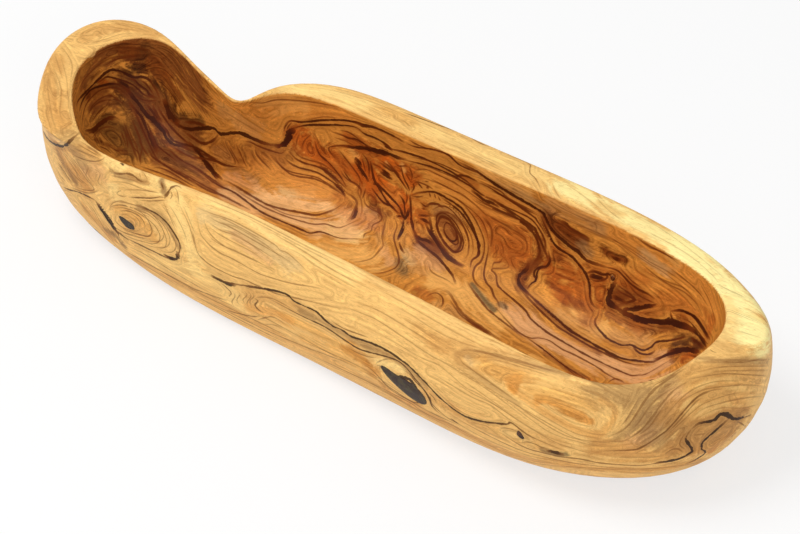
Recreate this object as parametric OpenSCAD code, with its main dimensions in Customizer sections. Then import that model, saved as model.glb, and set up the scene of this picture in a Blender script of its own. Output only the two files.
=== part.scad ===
// Long free-form dough bowl, carved from one half log of olive wood.
// +X runs along the bowl to its blunt end, +Y across it to the side with the waist, and +Z up.
// The origin lies under the middle of the bowl, on the surface that it stands on.

/* [Overall size] */
// Length of the bowl over both ends
body_length = 420; // [300:5:560]
// Width of the bowl over both bellies
body_width = 142; // [100:1:190]
// Height of the sawn rim above the flat base
body_height = 73; // [50:1:100]

/* [Outside] */
// Height at which the bowl is widest
belly_height = 40; // [25:1:45]
// Slope of the flank where it meets the sawn rim, in degrees
crease_angle = 25; // [10:1:45]
// Rounding of the outer edge of the sawn rim
crease_round = 4; // [1:0.5:8]

/* [Hollow] */
// Thickness of the floor under the middle of the hollow
floor_thickness = 17; // [8:1:30]
// How much lower the middle of the hollow is than the foot of its wall
floor_dish = 4; // [0:0.5:8]
// Rounding of the edge between the sawn rim and the hollow
lip_round = 1.5; // [0.5:0.25:4]

/* [Large knot in the near flank] */
// Length of the dark filled knot
large_knot_length = 26; // [12:1:40]
// Width of the dark filled knot
large_knot_width = 11; // [6:1:20]
// Depth of the dark filled knot below the flank
large_knot_depth = 9; // [4:1:12]

/* [Small knots in the near flank] */
// Length of the dark heart of the ringed knot
ringed_knot_length = 11; // [5:0.5:16]
// Width of the dark heart of the ringed knot
ringed_knot_width = 5; // [2.5:0.5:9]
// Length of the dark speck in the eye knot
eye_knot_length = 5; // [3:0.5:9]
// Width of the dark speck in the eye knot
eye_knot_width = 3; // [2:0.25:6]
// Depth of the small knots below the flank
small_knot_depth = 6; // [3:0.5:10]

/* [Pin knot in the hollow] */
// Diameter of the round pin knot
pin_knot_d = 2.5; // [1.5:0.25:5]
// Depth of the round pin knot below the wall of the hollow
pin_knot_depth = 5; // [3:0.5:8]

/* [Fits] */
// Gap between a knot and the wood that holds it
knot_gap = 0.1; // [0.05:0.05:0.3]

/* [Hidden] */

// How far a knot's cutter stands out of the wood
cut_over = 4;

// Spokes round the bowl, and rings on each curved stretch of its profile
spokes = 130;
low_rings = 7;
high_rings = 6;
wall_rings = 8;

// The outlines are seen from above. Each is a closed smooth curve that these points pull, given as
// shares of the bowl's length and width from its middle. They start at the near left corner and go
// round by the left end, the far side with its waist, the blunt right end and the near side.

// Edge of the hollow at the sawn rim
lip_shares = [
    [-0.34, -0.36], [-0.37, -0.30], [-0.41, -0.19], [-0.445, -0.04], [-0.455, 0.12], [-0.43, 0.27],
    [-0.385, 0.31], [-0.32, 0.21], [-0.275, 0.17], [-0.24, 0.12], [-0.225, 0.31], [-0.16, 0.35],
    [-0.07, 0.345], [0.08, 0.345], [0.22, 0.35], [0.33, 0.32], [0.40, 0.26], [0.44, 0.10],
    [0.435, -0.08], [0.42, -0.28], [0.37, -0.41], [0.27, -0.40], [0.12, -0.36], [-0.04, -0.34],
    [-0.17, -0.32], [-0.27, -0.37]];

// Outer edge of the sawn rim
rim_shares = [
    [-0.345, -0.37], [-0.37, -0.40], [-0.42, -0.38], [-0.475, -0.12], [-0.505, 0.09], [-0.495, 0.30],
    [-0.425, 0.375], [-0.34, 0.25], [-0.285, 0.19], [-0.235, 0.12], [-0.24, 0.33], [-0.17, 0.475],
    [-0.07, 0.475], [0.08, 0.465], [0.22, 0.47], [0.34, 0.425], [0.42, 0.31], [0.505, 0.12],
    [0.455, -0.05], [0.425, -0.295], [0.375, -0.425], [0.27, -0.42], [0.12, -0.38], [-0.04, -0.36],
    [-0.17, -0.34], [-0.27, -0.39]];

// Widest outline of the bowl
belly_shares = [
    [-0.32, -0.38], [-0.39, -0.33], [-0.44, -0.25], [-0.485, -0.12], [-0.505, 0.05], [-0.48, 0.24],
    [-0.42, 0.34], [-0.35, 0.31], [-0.295, 0.24], [-0.245, 0.20], [-0.225, 0.36], [-0.165, 0.48],
    [-0.07, 0.505], [0.08, 0.505], [0.22, 0.485], [0.35, 0.45], [0.44, 0.39], [0.485, 0.21],
    [0.49, -0.05], [0.455, -0.32], [0.36, -0.50], [0.25, -0.53], [0.10, -0.485], [-0.04, -0.44],
    [-0.16, -0.43], [-0.255, -0.41]];

// Edge of the flat base
foot_shares = [
    [-0.32, -0.25], [-0.37, -0.18], [-0.40, -0.09], [-0.415, 0.00], [-0.42, 0.09], [-0.415, 0.18],
    [-0.385, 0.24], [-0.34, 0.26], [-0.285, 0.25], [-0.245, 0.26], [-0.20, 0.29], [-0.15, 0.315],
    [-0.07, 0.33], [0.08, 0.335], [0.20, 0.32], [0.28, 0.27], [0.35, 0.19], [0.405, 0.08],
    [0.41, -0.03], [0.37, -0.15], [0.29, -0.27], [0.20, -0.335], [0.09, -0.345], [-0.04, -0.35],
    [-0.15, -0.345], [-0.24, -0.31]];

// Foot of the hollow's wall
floor_shares = [
    [-0.27, -0.16], [-0.31, -0.13], [-0.34, -0.08], [-0.36, -0.02], [-0.365, 0.05], [-0.355, 0.12],
    [-0.325, 0.15], [-0.285, 0.12], [-0.25, 0.08], [-0.21, 0.08], [-0.17, 0.12], [-0.11, 0.15],
    [-0.04, 0.155], [0.08, 0.155], [0.19, 0.15], [0.27, 0.13], [0.32, 0.09], [0.35, 0.03],
    [0.35, -0.05], [0.325, -0.12], [0.28, -0.17], [0.21, -0.185], [0.10, -0.18], [-0.02, -0.17],
    [-0.12, -0.16], [-0.20, -0.165]];

// Half length of the line down the middle of the floor
floor_line_share = 0.26;
// Rings of the floor, from its edge to the flat patch in its middle
floor_ring_shares = [0.82, 0.58, 0.3];

// Outlines of the knots, as shares of a knot's length and width
large_knot_shares = [
    [-0.62, 0.02], [-0.48, 0.34], [-0.20, 0.26], [0.06, 0.50], [0.38, 0.52], [0.62, 0.02],
    [0.50, -0.50], [0.14, -0.60], [-0.24, -0.36]];
small_knot_shares = [
    [-0.64, 0.00], [-0.30, 0.46], [0.10, 0.44], [0.36, 0.66], [0.58, 0.10], [0.30, -0.36],
    [0.02, -0.66], [-0.30, -0.44]];

// Place of each knot: its share of the way round the bowl, then its angle on the curve that it is in,
// from 0 at the foot of the low flank or the lip of the hollow, and its turn on the surface
large_knot_place = [0.836, 78, 168];
ringed_knot_place = [0.975, 88, 167];
eye_knot_place = [0.79, 86, 110];
pin_knot_place = [0.552, 34, 0];
// Steps used to measure how a surface lies at a knot
step_share = 0.004;
step_angle = 1;

// Point of a closed smooth curve, with at going from 0 to 1 round it
function pulled(a, b, c, d, t) =
    (a * (1 - t) ^ 3 + b * (3 * t ^ 3 - 6 * t ^ 2 + 4)
        + c * (3 * t - 3 * t ^ 3 + 3 * t ^ 2 + 1) + d * t ^ 3) / 6;
function on_curve(shares, at) =
    let (
        n = len(shares),
        whole = at * n,
        i = floor(whole),
        near = [for (k = [n - 1 : n + 2]) shares[(i + k) % n]])
    pulled(near[0], near[1], near[2], near[3], whole - i);

// Lowest and highest shares that the rim and the belly reach, which set the scale of every outline
edge_points = [
    for (shares = [rim_shares, belly_shares])
    for (i = [0 : spokes - 1])
        on_curve(shares, i / spokes)];
x_shares = [for (p = edge_points) p.x];
y_shares = [for (p = edge_points) p.y];
low_share = [min(x_shares), min(y_shares)];
span_share = [max(x_shares) - low_share.x, max(y_shares) - low_share.y];

// Place on the plan in millimetres, with the middle of the bowl at zero
function plan(shares, at) =
    let (p = on_curve(shares, at) - low_share)
    [body_length * (p.x / span_share.x - 1 / 2), body_width * (p.y / span_share.y - 1 / 2)];
function raised(p, z) = [p.x, p.y, z];
function mixed(a, b, k) = a + (b - a) * k;
function toward(a, b, far) = a + (b - a) * min(far / norm(b - a), 2 / 5);

// Flank from the foot, at 0 degrees, up to the belly, at 90
function low_flank(at, turn) =
    raised(
        mixed(plan(foot_shares, at), plan(belly_shares, at), sin(turn)),
        belly_height * (1 - cos(turn)));
// Flank from the belly, at 90 degrees, up to the rim, at the crease angle
function high_flank(at, turn) =
    let (out = (sin(turn) - sin(crease_angle)) / (1 - sin(crease_angle)))
    raised(
        mixed(plan(rim_shares, at), plan(belly_shares, at), out),
        belly_height + (body_height - belly_height) * cos(turn) / cos(crease_angle));
// Wall of the hollow from its lip, at 0 degrees, down to the floor, at 90
wall_drop = body_height - floor_thickness - floor_dish;
function hollow_wall(at, turn) =
    raised(
        mixed(plan(lip_shares, at), plan(floor_shares, at), 1 - cos(turn)),
        body_height - wall_drop * sin(turn));
// Floor of the hollow, which sinks a little from its edge, at 1, to its middle line, at 0
function hollow_floor(at, k) =
    let (edge = plan(floor_shares, at), reach = body_length * floor_line_share)
    raised(
        mixed([max(min(edge.x, reach), -reach), 0], edge, k),
        floor_thickness + floor_dish * k ^ 2);

// Sharp corner of the profile, softened between the points before and after it
function softened(before, corner, after) = (before + 2 * corner + after) / 4;
crease_turn = acos(cos(crease_angle) * (1 - crease_round / (body_height - belly_height) / 2));
lip_turn = asin(min(lip_round / wall_drop, 1 / 2));

// Profile of the bowl at one spoke, from the foot outside to the floor inside
function profile(at) =
    let (
        rim = raised(plan(rim_shares, at), body_height),
        lip = raised(plan(lip_shares, at), body_height),
        flank_end = high_flank(at, crease_turn),
        top_start = toward(rim, lip, crease_round),
        top_end = toward(lip, rim, lip_round),
        wall_start = hollow_wall(at, lip_turn))
    concat(
        [for (i = [0 : low_rings]) low_flank(at, 90 * i / low_rings)],
        [for (i = [1 : high_rings]) high_flank(at, mixed(90, crease_turn, i / high_rings))],
        [softened(flank_end, rim, top_start), top_start, top_end, softened(top_end, lip, wall_start)],
        [for (i = [0 : wall_rings]) hollow_wall(at, mixed(lip_turn, 90, i / wall_rings))],
        [for (k = floor_ring_shares) hollow_floor(at, k)]);

// Closed skin over rows of points, each row as long as the others and the rows joined in a ring
module skin(rows) {
    n = len(rows);
    m = len(rows[0]);
    sides = [for (i = [0 : n - 1]) for (j = [0 : m - 2])
        let (a = i * m + j, b = ((i + 1) % n) * m + j)
        each [[a, b, a + 1], [b, b + 1, a + 1]]];
    bottom = [for (i = [n - 1 : -1 : 0]) i * m];
    top = [for (i = [0 : n - 1]) i * m + m - 1];
    polyhedron(points = [for (row = rows) each row], faces = concat(sides, [bottom, top]), convexity = 6);
}

module whole_bowl() {
    skin([for (i = [0 : spokes - 1]) profile(i / spokes)]);
}

// Frame of a surface at a point: along the bowl, across that on the surface, and out of the wood
function unit(v) = v / norm(v);
function surface_frame(p, beside, above) =
    let (along = unit(beside - p), out = unit(cross(above - p, along)))
    [along, cross(out, along), out];

module seated(place, on_hollow = false) {
    at = place[0];
    turn = place[1];
    p = on_hollow ? hollow_wall(at, turn) : low_flank(at, turn);
    beside = on_hollow ? hollow_wall(at + step_share, turn) : low_flank(at + step_share, turn);
    above = on_hollow ? hollow_wall(at, turn + step_angle) : low_flank(at, turn + step_angle);
    f = surface_frame(p, beside, above);
    multmatrix([
        [f[0].x, f[1].x, f[2].x, p.x],
        [f[0].y, f[1].y, f[2].y, p.y],
        [f[0].z, f[1].z, f[2].z, p.z],
        [0, 0, 0, 1]])
        rotate([0, 0, place[2]])
            children();
}

// Knot with a free outline, standing out of the wood for the cutter or for the bowl to trim
module outlined_knot(shares, knot_length, knot_width, depth, gap) {
    size = [knot_length + 2 * gap, knot_width + 2 * gap];
    outline = [for (i = [0 : 3 * len(shares) - 1])
        let (p = on_curve(shares, i / len(shares) / 3))
        [p.x * size.x, p.y * size.y]];
    translate([0, 0, -depth - gap])
        linear_extrude(height = depth + gap + cut_over)
            polygon(outline);
}

module large_knot_blank(gap) {
    seated(large_knot_place)
        outlined_knot(large_knot_shares, large_knot_length, large_knot_width, large_knot_depth, gap);
}

module ringed_knot_blank(gap) {
    seated(ringed_knot_place)
        outlined_knot(small_knot_shares, ringed_knot_length, ringed_knot_width, small_knot_depth, gap);
}

module eye_knot_blank(gap) {
    seated(eye_knot_place)
        outlined_knot(small_knot_shares, eye_knot_length, eye_knot_width, small_knot_depth, gap);
}

module pin_knot_blank(gap) {
    seated(pin_knot_place, on_hollow = true)
        translate([0, 0, -pin_knot_depth - gap])
            cylinder(h = pin_knot_depth + gap + cut_over, d = pin_knot_d + 2 * gap, $fn = 96);
}

module bowl_body() {
    color("burlywood")
        difference() {
            whole_bowl();
            large_knot_blank(knot_gap);
            ringed_knot_blank(knot_gap);
            eye_knot_blank(knot_gap);
            pin_knot_blank(knot_gap);
        }
}

module large_knot() {
    color("darkslategray")
        intersection() {
            whole_bowl();
            large_knot_blank(0);
        }
}

module ringed_knot_heart() {
    color("#3a2a1c")
        intersection() {
            whole_bowl();
            ringed_knot_blank(0);
        }
}

module eye_knot() {
    color("#4a3018")
        intersection() {
            whole_bowl();
            eye_knot_blank(0);
        }
}

module pin_knot() {
    color("#2c1608")
        intersection() {
            whole_bowl();
            pin_knot_blank(0);
        }
}

bowl_body();
large_knot();
ringed_knot_heart();
eye_knot();
pin_knot();
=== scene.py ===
import math
from itertools import product

import bmesh
import bpy
import numpy as np
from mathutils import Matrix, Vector
from mathutils.bvhtree import BVHTree
from mathutils.kdtree import KDTree


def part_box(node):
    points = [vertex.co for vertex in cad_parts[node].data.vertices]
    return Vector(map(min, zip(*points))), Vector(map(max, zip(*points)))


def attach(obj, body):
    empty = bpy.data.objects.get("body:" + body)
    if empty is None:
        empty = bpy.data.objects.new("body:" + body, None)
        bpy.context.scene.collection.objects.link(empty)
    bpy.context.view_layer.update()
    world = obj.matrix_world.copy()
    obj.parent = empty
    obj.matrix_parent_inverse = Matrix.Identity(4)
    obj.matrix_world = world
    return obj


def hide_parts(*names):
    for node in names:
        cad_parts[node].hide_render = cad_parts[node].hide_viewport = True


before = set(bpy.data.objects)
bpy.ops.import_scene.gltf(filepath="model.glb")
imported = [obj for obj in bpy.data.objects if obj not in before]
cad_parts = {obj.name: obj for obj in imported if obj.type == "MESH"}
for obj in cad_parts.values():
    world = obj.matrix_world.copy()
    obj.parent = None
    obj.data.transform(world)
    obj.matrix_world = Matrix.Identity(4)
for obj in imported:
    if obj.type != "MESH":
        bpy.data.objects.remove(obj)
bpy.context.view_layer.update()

MM = 0.001
TINY = 1e-9
scene = bpy.context.scene

# Picture and camera
PICTURE_WIDTH, PICTURE_HEIGHT = 800, 534
SENSOR_WIDTH = 36.0
CAMERA_AZIMUTH, CAMERA_ELEVATION = 35.0, 40.0
CAMERA_TARGET = Vector((39.65, -37.47, 73.0)) * MM
CAMERA_DISTANCE = 1560 * MM
FOCAL_LENGTH = 147.8
CLIP_NEAR, CLIP_FAR = 10 * MM, 20.0

# Dense meshes
BODY = "bowl_body"
VOXEL = 0.8 * MM
WELD = 0.001 * MM
SMOOTH_PASSES, SMOOTH_FACTOR = 6, 0.5
NORMAL_DIGITS = 2

# Knots: the gap round each, their overlap with the body while the skin is made, and how far a block
# that cuts or keeps a knot is raised above its foot
KNOT_GAP = 0.1 * MM
KNOT_OVERLAP = 0.3 * MM
CUTTER_RISE = 3 * MM
KNOT_FOOT_SHARE = 0.2

# Floor and light: a floor that looks partly white by itself, a soft sky, and each lamp's place, size
# and power, in metres and watts
FLOOR_HALF = 6.0
FLOOR_WHITE_SHARE, FLOOR_GREY = 0.7, 0.9
SKY_LIGHT = 0.48
LAMP_AIM = Vector((0, 0, 0.03))
LAMPS = {
    "key": ((-0.6, -0.5, 1.6), 1.0, 18),
    "fill": ((1.2, -1.0, 1.0), 1.2, 7.5),
}

# Colours, as sRGB
PALETTE = {
    # This cream is used only on the sawn top toward the right end: partly its pale wood, partly painted
    # light where that top is brightest.
    "lit_cream": "f6e49c",
    "straw": "f0ca80",
    "honey": "e2b36b",
    "gold": "d9a053",
    "tan": "c48c4a",
    "orange": "cf893a",
    "amber": "c28236",
    "copper": "ae6224",
    "rust": "a2541a",
    "ember": "c65c14",
    "chestnut": "8c5224",
    "russet": "763a12",
    "umber": "4f2b12",
    "cocoa": "5e3a1e",
    "walnut": "7c4c20",
    "bark": "6a2c08",
    "bole": "3e1503",
    "soot": "29160a",
    "rose": "d09a64",
    # This pink paints the pale patches on the hollow's floor: partly their pinkish tone, partly a
    # painted highlight of the floor's sheen.
    "sheen_blush": "dba86c",
    "ash": "cfb07a",
    "smoke": "967044",
    "slate": "5c5238",
    "olive": "453c22",
}
HOLLOW_BASE, OUTER_BASE = "amber", "honey"

# Each knot's node in the CAD, with the colours of its heart, its edge and its cracks
KNOT_COLOURS = {
    "large_knot": ("soot", "olive", "umber"),
    "ringed_knot_heart": ("soot", "soot", "slate"),
    "eye_knot": ("soot", "cocoa", "umber"),
    "pin_knot": ("soot", "russet", "soot"),
}

# A vein is a dark line in the wood, drawn over the photograph: its darkness, its half width
# in millimetres, and the picture pixels of the few points that a smooth curve is laid through.
LEFT_END_VEINS = [
    (0.9, 0.7, [(76, 107), (80, 98), (99, 79), (106, 73), (112, 70), (120, 71), (133, 77), (141, 77),
        (148, 79), (153, 85), (157, 92), (160, 100)]),
    (0.95, 0.6, [(79, 112), (82, 102), (87, 94), (94, 88), (110, 84), (120, 85), (126, 89)]),
    (0.97, 1.0, [(120, 85), (126, 89), (132, 95), (150, 118), (157, 123), (163, 131), (167, 139),
        (173, 144), (182, 146), (192, 151)]),
    (0.8, 0.5, [(96, 84), (102, 80), (109, 77), (131, 84), (143, 94), (150, 97), (157, 98)]),
    (0.6, 0.35, [(82, 128), (83, 116), (86, 105), (92, 97), (99, 91), (108, 88), (117, 88), (124, 92),
        (130, 98)]),
    (0.5, 0.35, [(88, 118), (91, 108), (97, 101), (106, 96), (114, 97), (127, 107)]),
    (0.6, 0.4, [(92, 122), (97, 114), (103, 108), (109, 104)]),
    (0.7, 0.4, [(134, 94), (141, 99), (149, 101), (158, 100)]),
    (0.85, 0.8, [(128, 101), (139, 114), (144, 122), (158, 156)]),
    (0.8, 0.6, [(146, 104), (151, 110), (160, 124)]),
    (0.75, 0.5, [(157, 105), (161, 113), (171, 127), (184, 140), (192, 145)]),
    (0.6, 0.5, [(131, 117), (139, 136), (142, 146), (151, 160)]),
    (0.5, 0.5, [(122, 125), (135, 153), (138, 163)]),
    (0.75, 0.5, [(150, 128), (154, 138), (159, 147), (178, 162)]),
    (0.7, 0.6, [(147, 147), (151, 154), (157, 160), (196, 184)]),
    (0.7, 0.5, [(160, 149), (170, 151), (177, 157), (186, 163), (196, 168), (225, 188)]),
    (0.6, 0.4, [(173, 146), (181, 152), (199, 161)]),
    (0.6, 0.5, [(140, 166), (170, 177), (192, 188)]),
    (0.6, 0.4, [(163, 164), (176, 170), (216, 192), (232, 199)]),
    (0.7, 0.6, [(84, 131), (92, 129), (106, 119), (114, 117), (121, 121)]),
    (0.45, 0.4, [(92, 138), (97, 132), (103, 128), (111, 127), (118, 131)]),
    (0.6, 0.5, [(99, 146), (106, 149), (112, 154)]),
    (0.5, 0.4, [(138, 140), (142, 148), (140, 158), (141, 166)]),
    (0.35, 0.5, [(78, 92), (84, 80), (93, 70), (103, 62), (115, 57), (142, 55)]),
    (0.3, 0.5, [(82, 72), (90, 62), (102, 53), (116, 48), (132, 48), (148, 50), (160, 55), (172, 65),
        (182, 80)]),
    (0.3, 0.5, [(165, 60), (198, 97), (212, 108), (226, 116)]),
    (0.97, 1.6, [(145, 110), (150, 117), (162, 129), (165, 136)]),
    (0.9, 0.9, [(116, 79), (127, 86), (131, 91)]),
    (0.8, 0.6, [(128, 79), (134, 80), (139, 85), (146, 90), (150, 95), (157, 98)]),
    (0.7, 0.6, [(153, 104), (155, 111), (163, 124)]),
    (0.7, 0.6, [(146, 121), (150, 130), (152, 138), (160, 153)]),
    (0.8, 1.3, [(88, 133), (94, 130), (100, 124), (108, 119), (116, 119)]),
    (0.5, 0.4, [(93, 131), (100, 145)]),
    (0.5, 0.4, [(98, 128), (103, 136), (110, 143)]),
    (0.5, 0.4, [(128, 125), (131, 135), (136, 145), (139, 155)]),
    (0.5, 0.4, [(124, 130), (127, 140), (128, 150)]),
    (0.5, 0.4, [(140, 56), (118, 59), (106, 65)]),
    (0.9, 1.8, [(164, 98), (167, 108), (172, 117), (180, 124)]),
    (0.7, 1.0, [(184, 122), (196, 123), (208, 127)]),
    (0.7, 0.8, [(184, 132), (202, 143), (212, 141), (219, 134)]),
    (0.7, 0.5, [(140, 80), (146, 84), (154, 95)]),
    (0.5, 0.35, [(88, 115), (93, 107), (100, 102), (108, 100), (115, 102)]),
    (0.7, 0.5, [(134, 110), (152, 150), (160, 163)]),
    (0.6, 0.4, [(124, 122), (133, 146), (138, 152), (140, 160)]),
    (0.5, 0.35, [(121, 130), (126, 146)]),
    (0.8, 0.6, [(155, 118), (166, 130), (170, 137), (176, 142), (196, 148), (212, 157), (220, 160)]),
    (0.6, 0.4, [(150, 168), (160, 168), (170, 172), (190, 184), (198, 187)]),
    (0.5, 0.4, [(106, 143), (112, 148), (118, 151), (124, 150)]),
]
TONGUE_VEINS = [
    (0.97, 1.0, [(165, 112), (171, 120), (180, 126), (190, 129), (212, 128), (219, 133), (226, 134),
        (235, 133), (243, 134), (262, 142), (272, 145), (280, 146)]),
    (0.95, 1.3, [(274, 146), (283, 145), (288, 140), (290, 134), (295, 127)]),
    (0.9, 0.6, [(292, 129), (301, 126), (310, 125), (335, 125), (350, 126), (357, 128), (363, 131)]),
    (0.9, 0.6, [(284, 127), (290, 121), (303, 122), (325, 120), (350, 121), (371, 127)]),
    (0.6, 0.4, [(242, 142), (250, 142), (258, 146), (275, 152), (282, 153), (287, 148)]),
    (0.7, 0.5, [(192, 149), (222, 163), (231, 166), (247, 168)]),
    (0.5, 0.4, [(229, 146), (240, 165)]),
    (0.5, 0.4, [(236, 144), (247, 168)]),
    (0.93, 1.0, [(188, 141), (210, 166), (216, 174), (223, 180)]),
    (0.65, 0.6, [(223, 180), (232, 184), (262, 202), (275, 207), (303, 213), (315, 215), (325, 213),
        (335, 209), (345, 202)]),
    (0.75, 0.5, [(190, 166), (200, 172), (212, 181), (222, 187), (235, 193), (262, 212), (300, 229),
        (310, 233), (321, 232), (340, 238), (363, 239)]),
    (0.5, 0.35, [(363, 239), (365, 234), (371, 232)]),
    (0.55, 0.4, [(235, 190), (262, 206), (275, 212), (288, 217), (312, 224), (325, 224), (335, 227),
        (342, 227), (360, 219)]),
    (0.4, 0.4, [(262, 201), (275, 209), (290, 215), (318, 219), (330, 217), (345, 212)]),
    (0.6, 0.5, [(190, 178), (200, 186), (212, 192), (225, 197), (252, 211)]),
    (0.6, 0.4, [(271, 156), (286, 171), (297, 176), (318, 180), (342, 194), (345, 198), (344, 202)]),
    (0.6, 0.35, [(274, 156), (281, 166), (291, 172), (315, 177), (325, 182), (343, 193)]),
    (0.7, 0.45, [(283, 156), (290, 163), (300, 168), (312, 171), (322, 175), (340, 187), (347, 193)]),
    (0.7, 0.45, [(288, 150), (295, 158), (304, 163), (315, 166), (324, 170), (333, 176), (349, 191)]),
    (0.5, 0.35, [(293, 148), (299, 156), (309, 160), (320, 163), (330, 169), (340, 177)]),
    (0.75, 0.5, [(315, 141), (317, 149), (321, 156), (329, 163), (336, 171), (342, 179), (347, 188)]),
    (0.5, 0.35, [(308, 131), (311, 134), (305, 140), (302, 147), (303, 151)]),
    (0.4, 0.3, [(300, 132), (297, 140), (296, 148)]),
    (0.6, 0.4, [(350, 145), (330, 147), (331, 153), (337, 160)]),
    (0.6, 0.45, [(338, 149), (356, 172), (361, 181), (363, 188)]),
    (0.5, 0.4, [(330, 131), (350, 138), (358, 142), (366, 148)]),
    (0.45, 0.35, [(333, 137), (345, 141), (355, 146)]),
    (0.5, 0.4, [(248, 102), (262, 103), (275, 100), (290, 100), (318, 103), (346, 109)]),
    (0.3, 0.3, [(253, 113), (258, 117), (266, 118), (274, 114)]),
    (0.25, 0.4, [(215, 106), (255, 130), (270, 137)]),
    (0.25, 0.4, [(226, 105), (262, 129), (276, 136)]),
    (0.97, 1.8, [(277, 147), (284, 143), (288, 138), (290, 132), (295, 128)]),
    (0.6, 0.35, [(284, 132), (285, 127), (289, 122)]),
    (0.6, 0.35, [(287, 131), (288, 127), (292, 122)]),
    (0.4, 0.35, [(300, 122), (322, 117), (338, 118)]),
    (0.97, 1.3, [(199, 152), (213, 173), (219, 179)]),
    (0.7, 0.6, [(190, 157), (212, 160), (224, 165), (234, 167)]),
    (0.5, 0.4, [(255, 148), (258, 156), (272, 171)]),
    (0.8, 0.5, [(340, 134), (348, 138), (358, 140), (372, 149)]),
    (0.6, 0.4, [(340, 130), (350, 133), (364, 143)]),
    (0.6, 0.5, [(340, 170), (344, 176), (350, 181), (356, 184), (361, 190), (360, 198)]),
    (0.7, 0.9, [(318, 166), (326, 171), (340, 185)]),
    (0.8, 0.6, [(333, 183), (341, 190), (346, 197)]),
]
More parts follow.
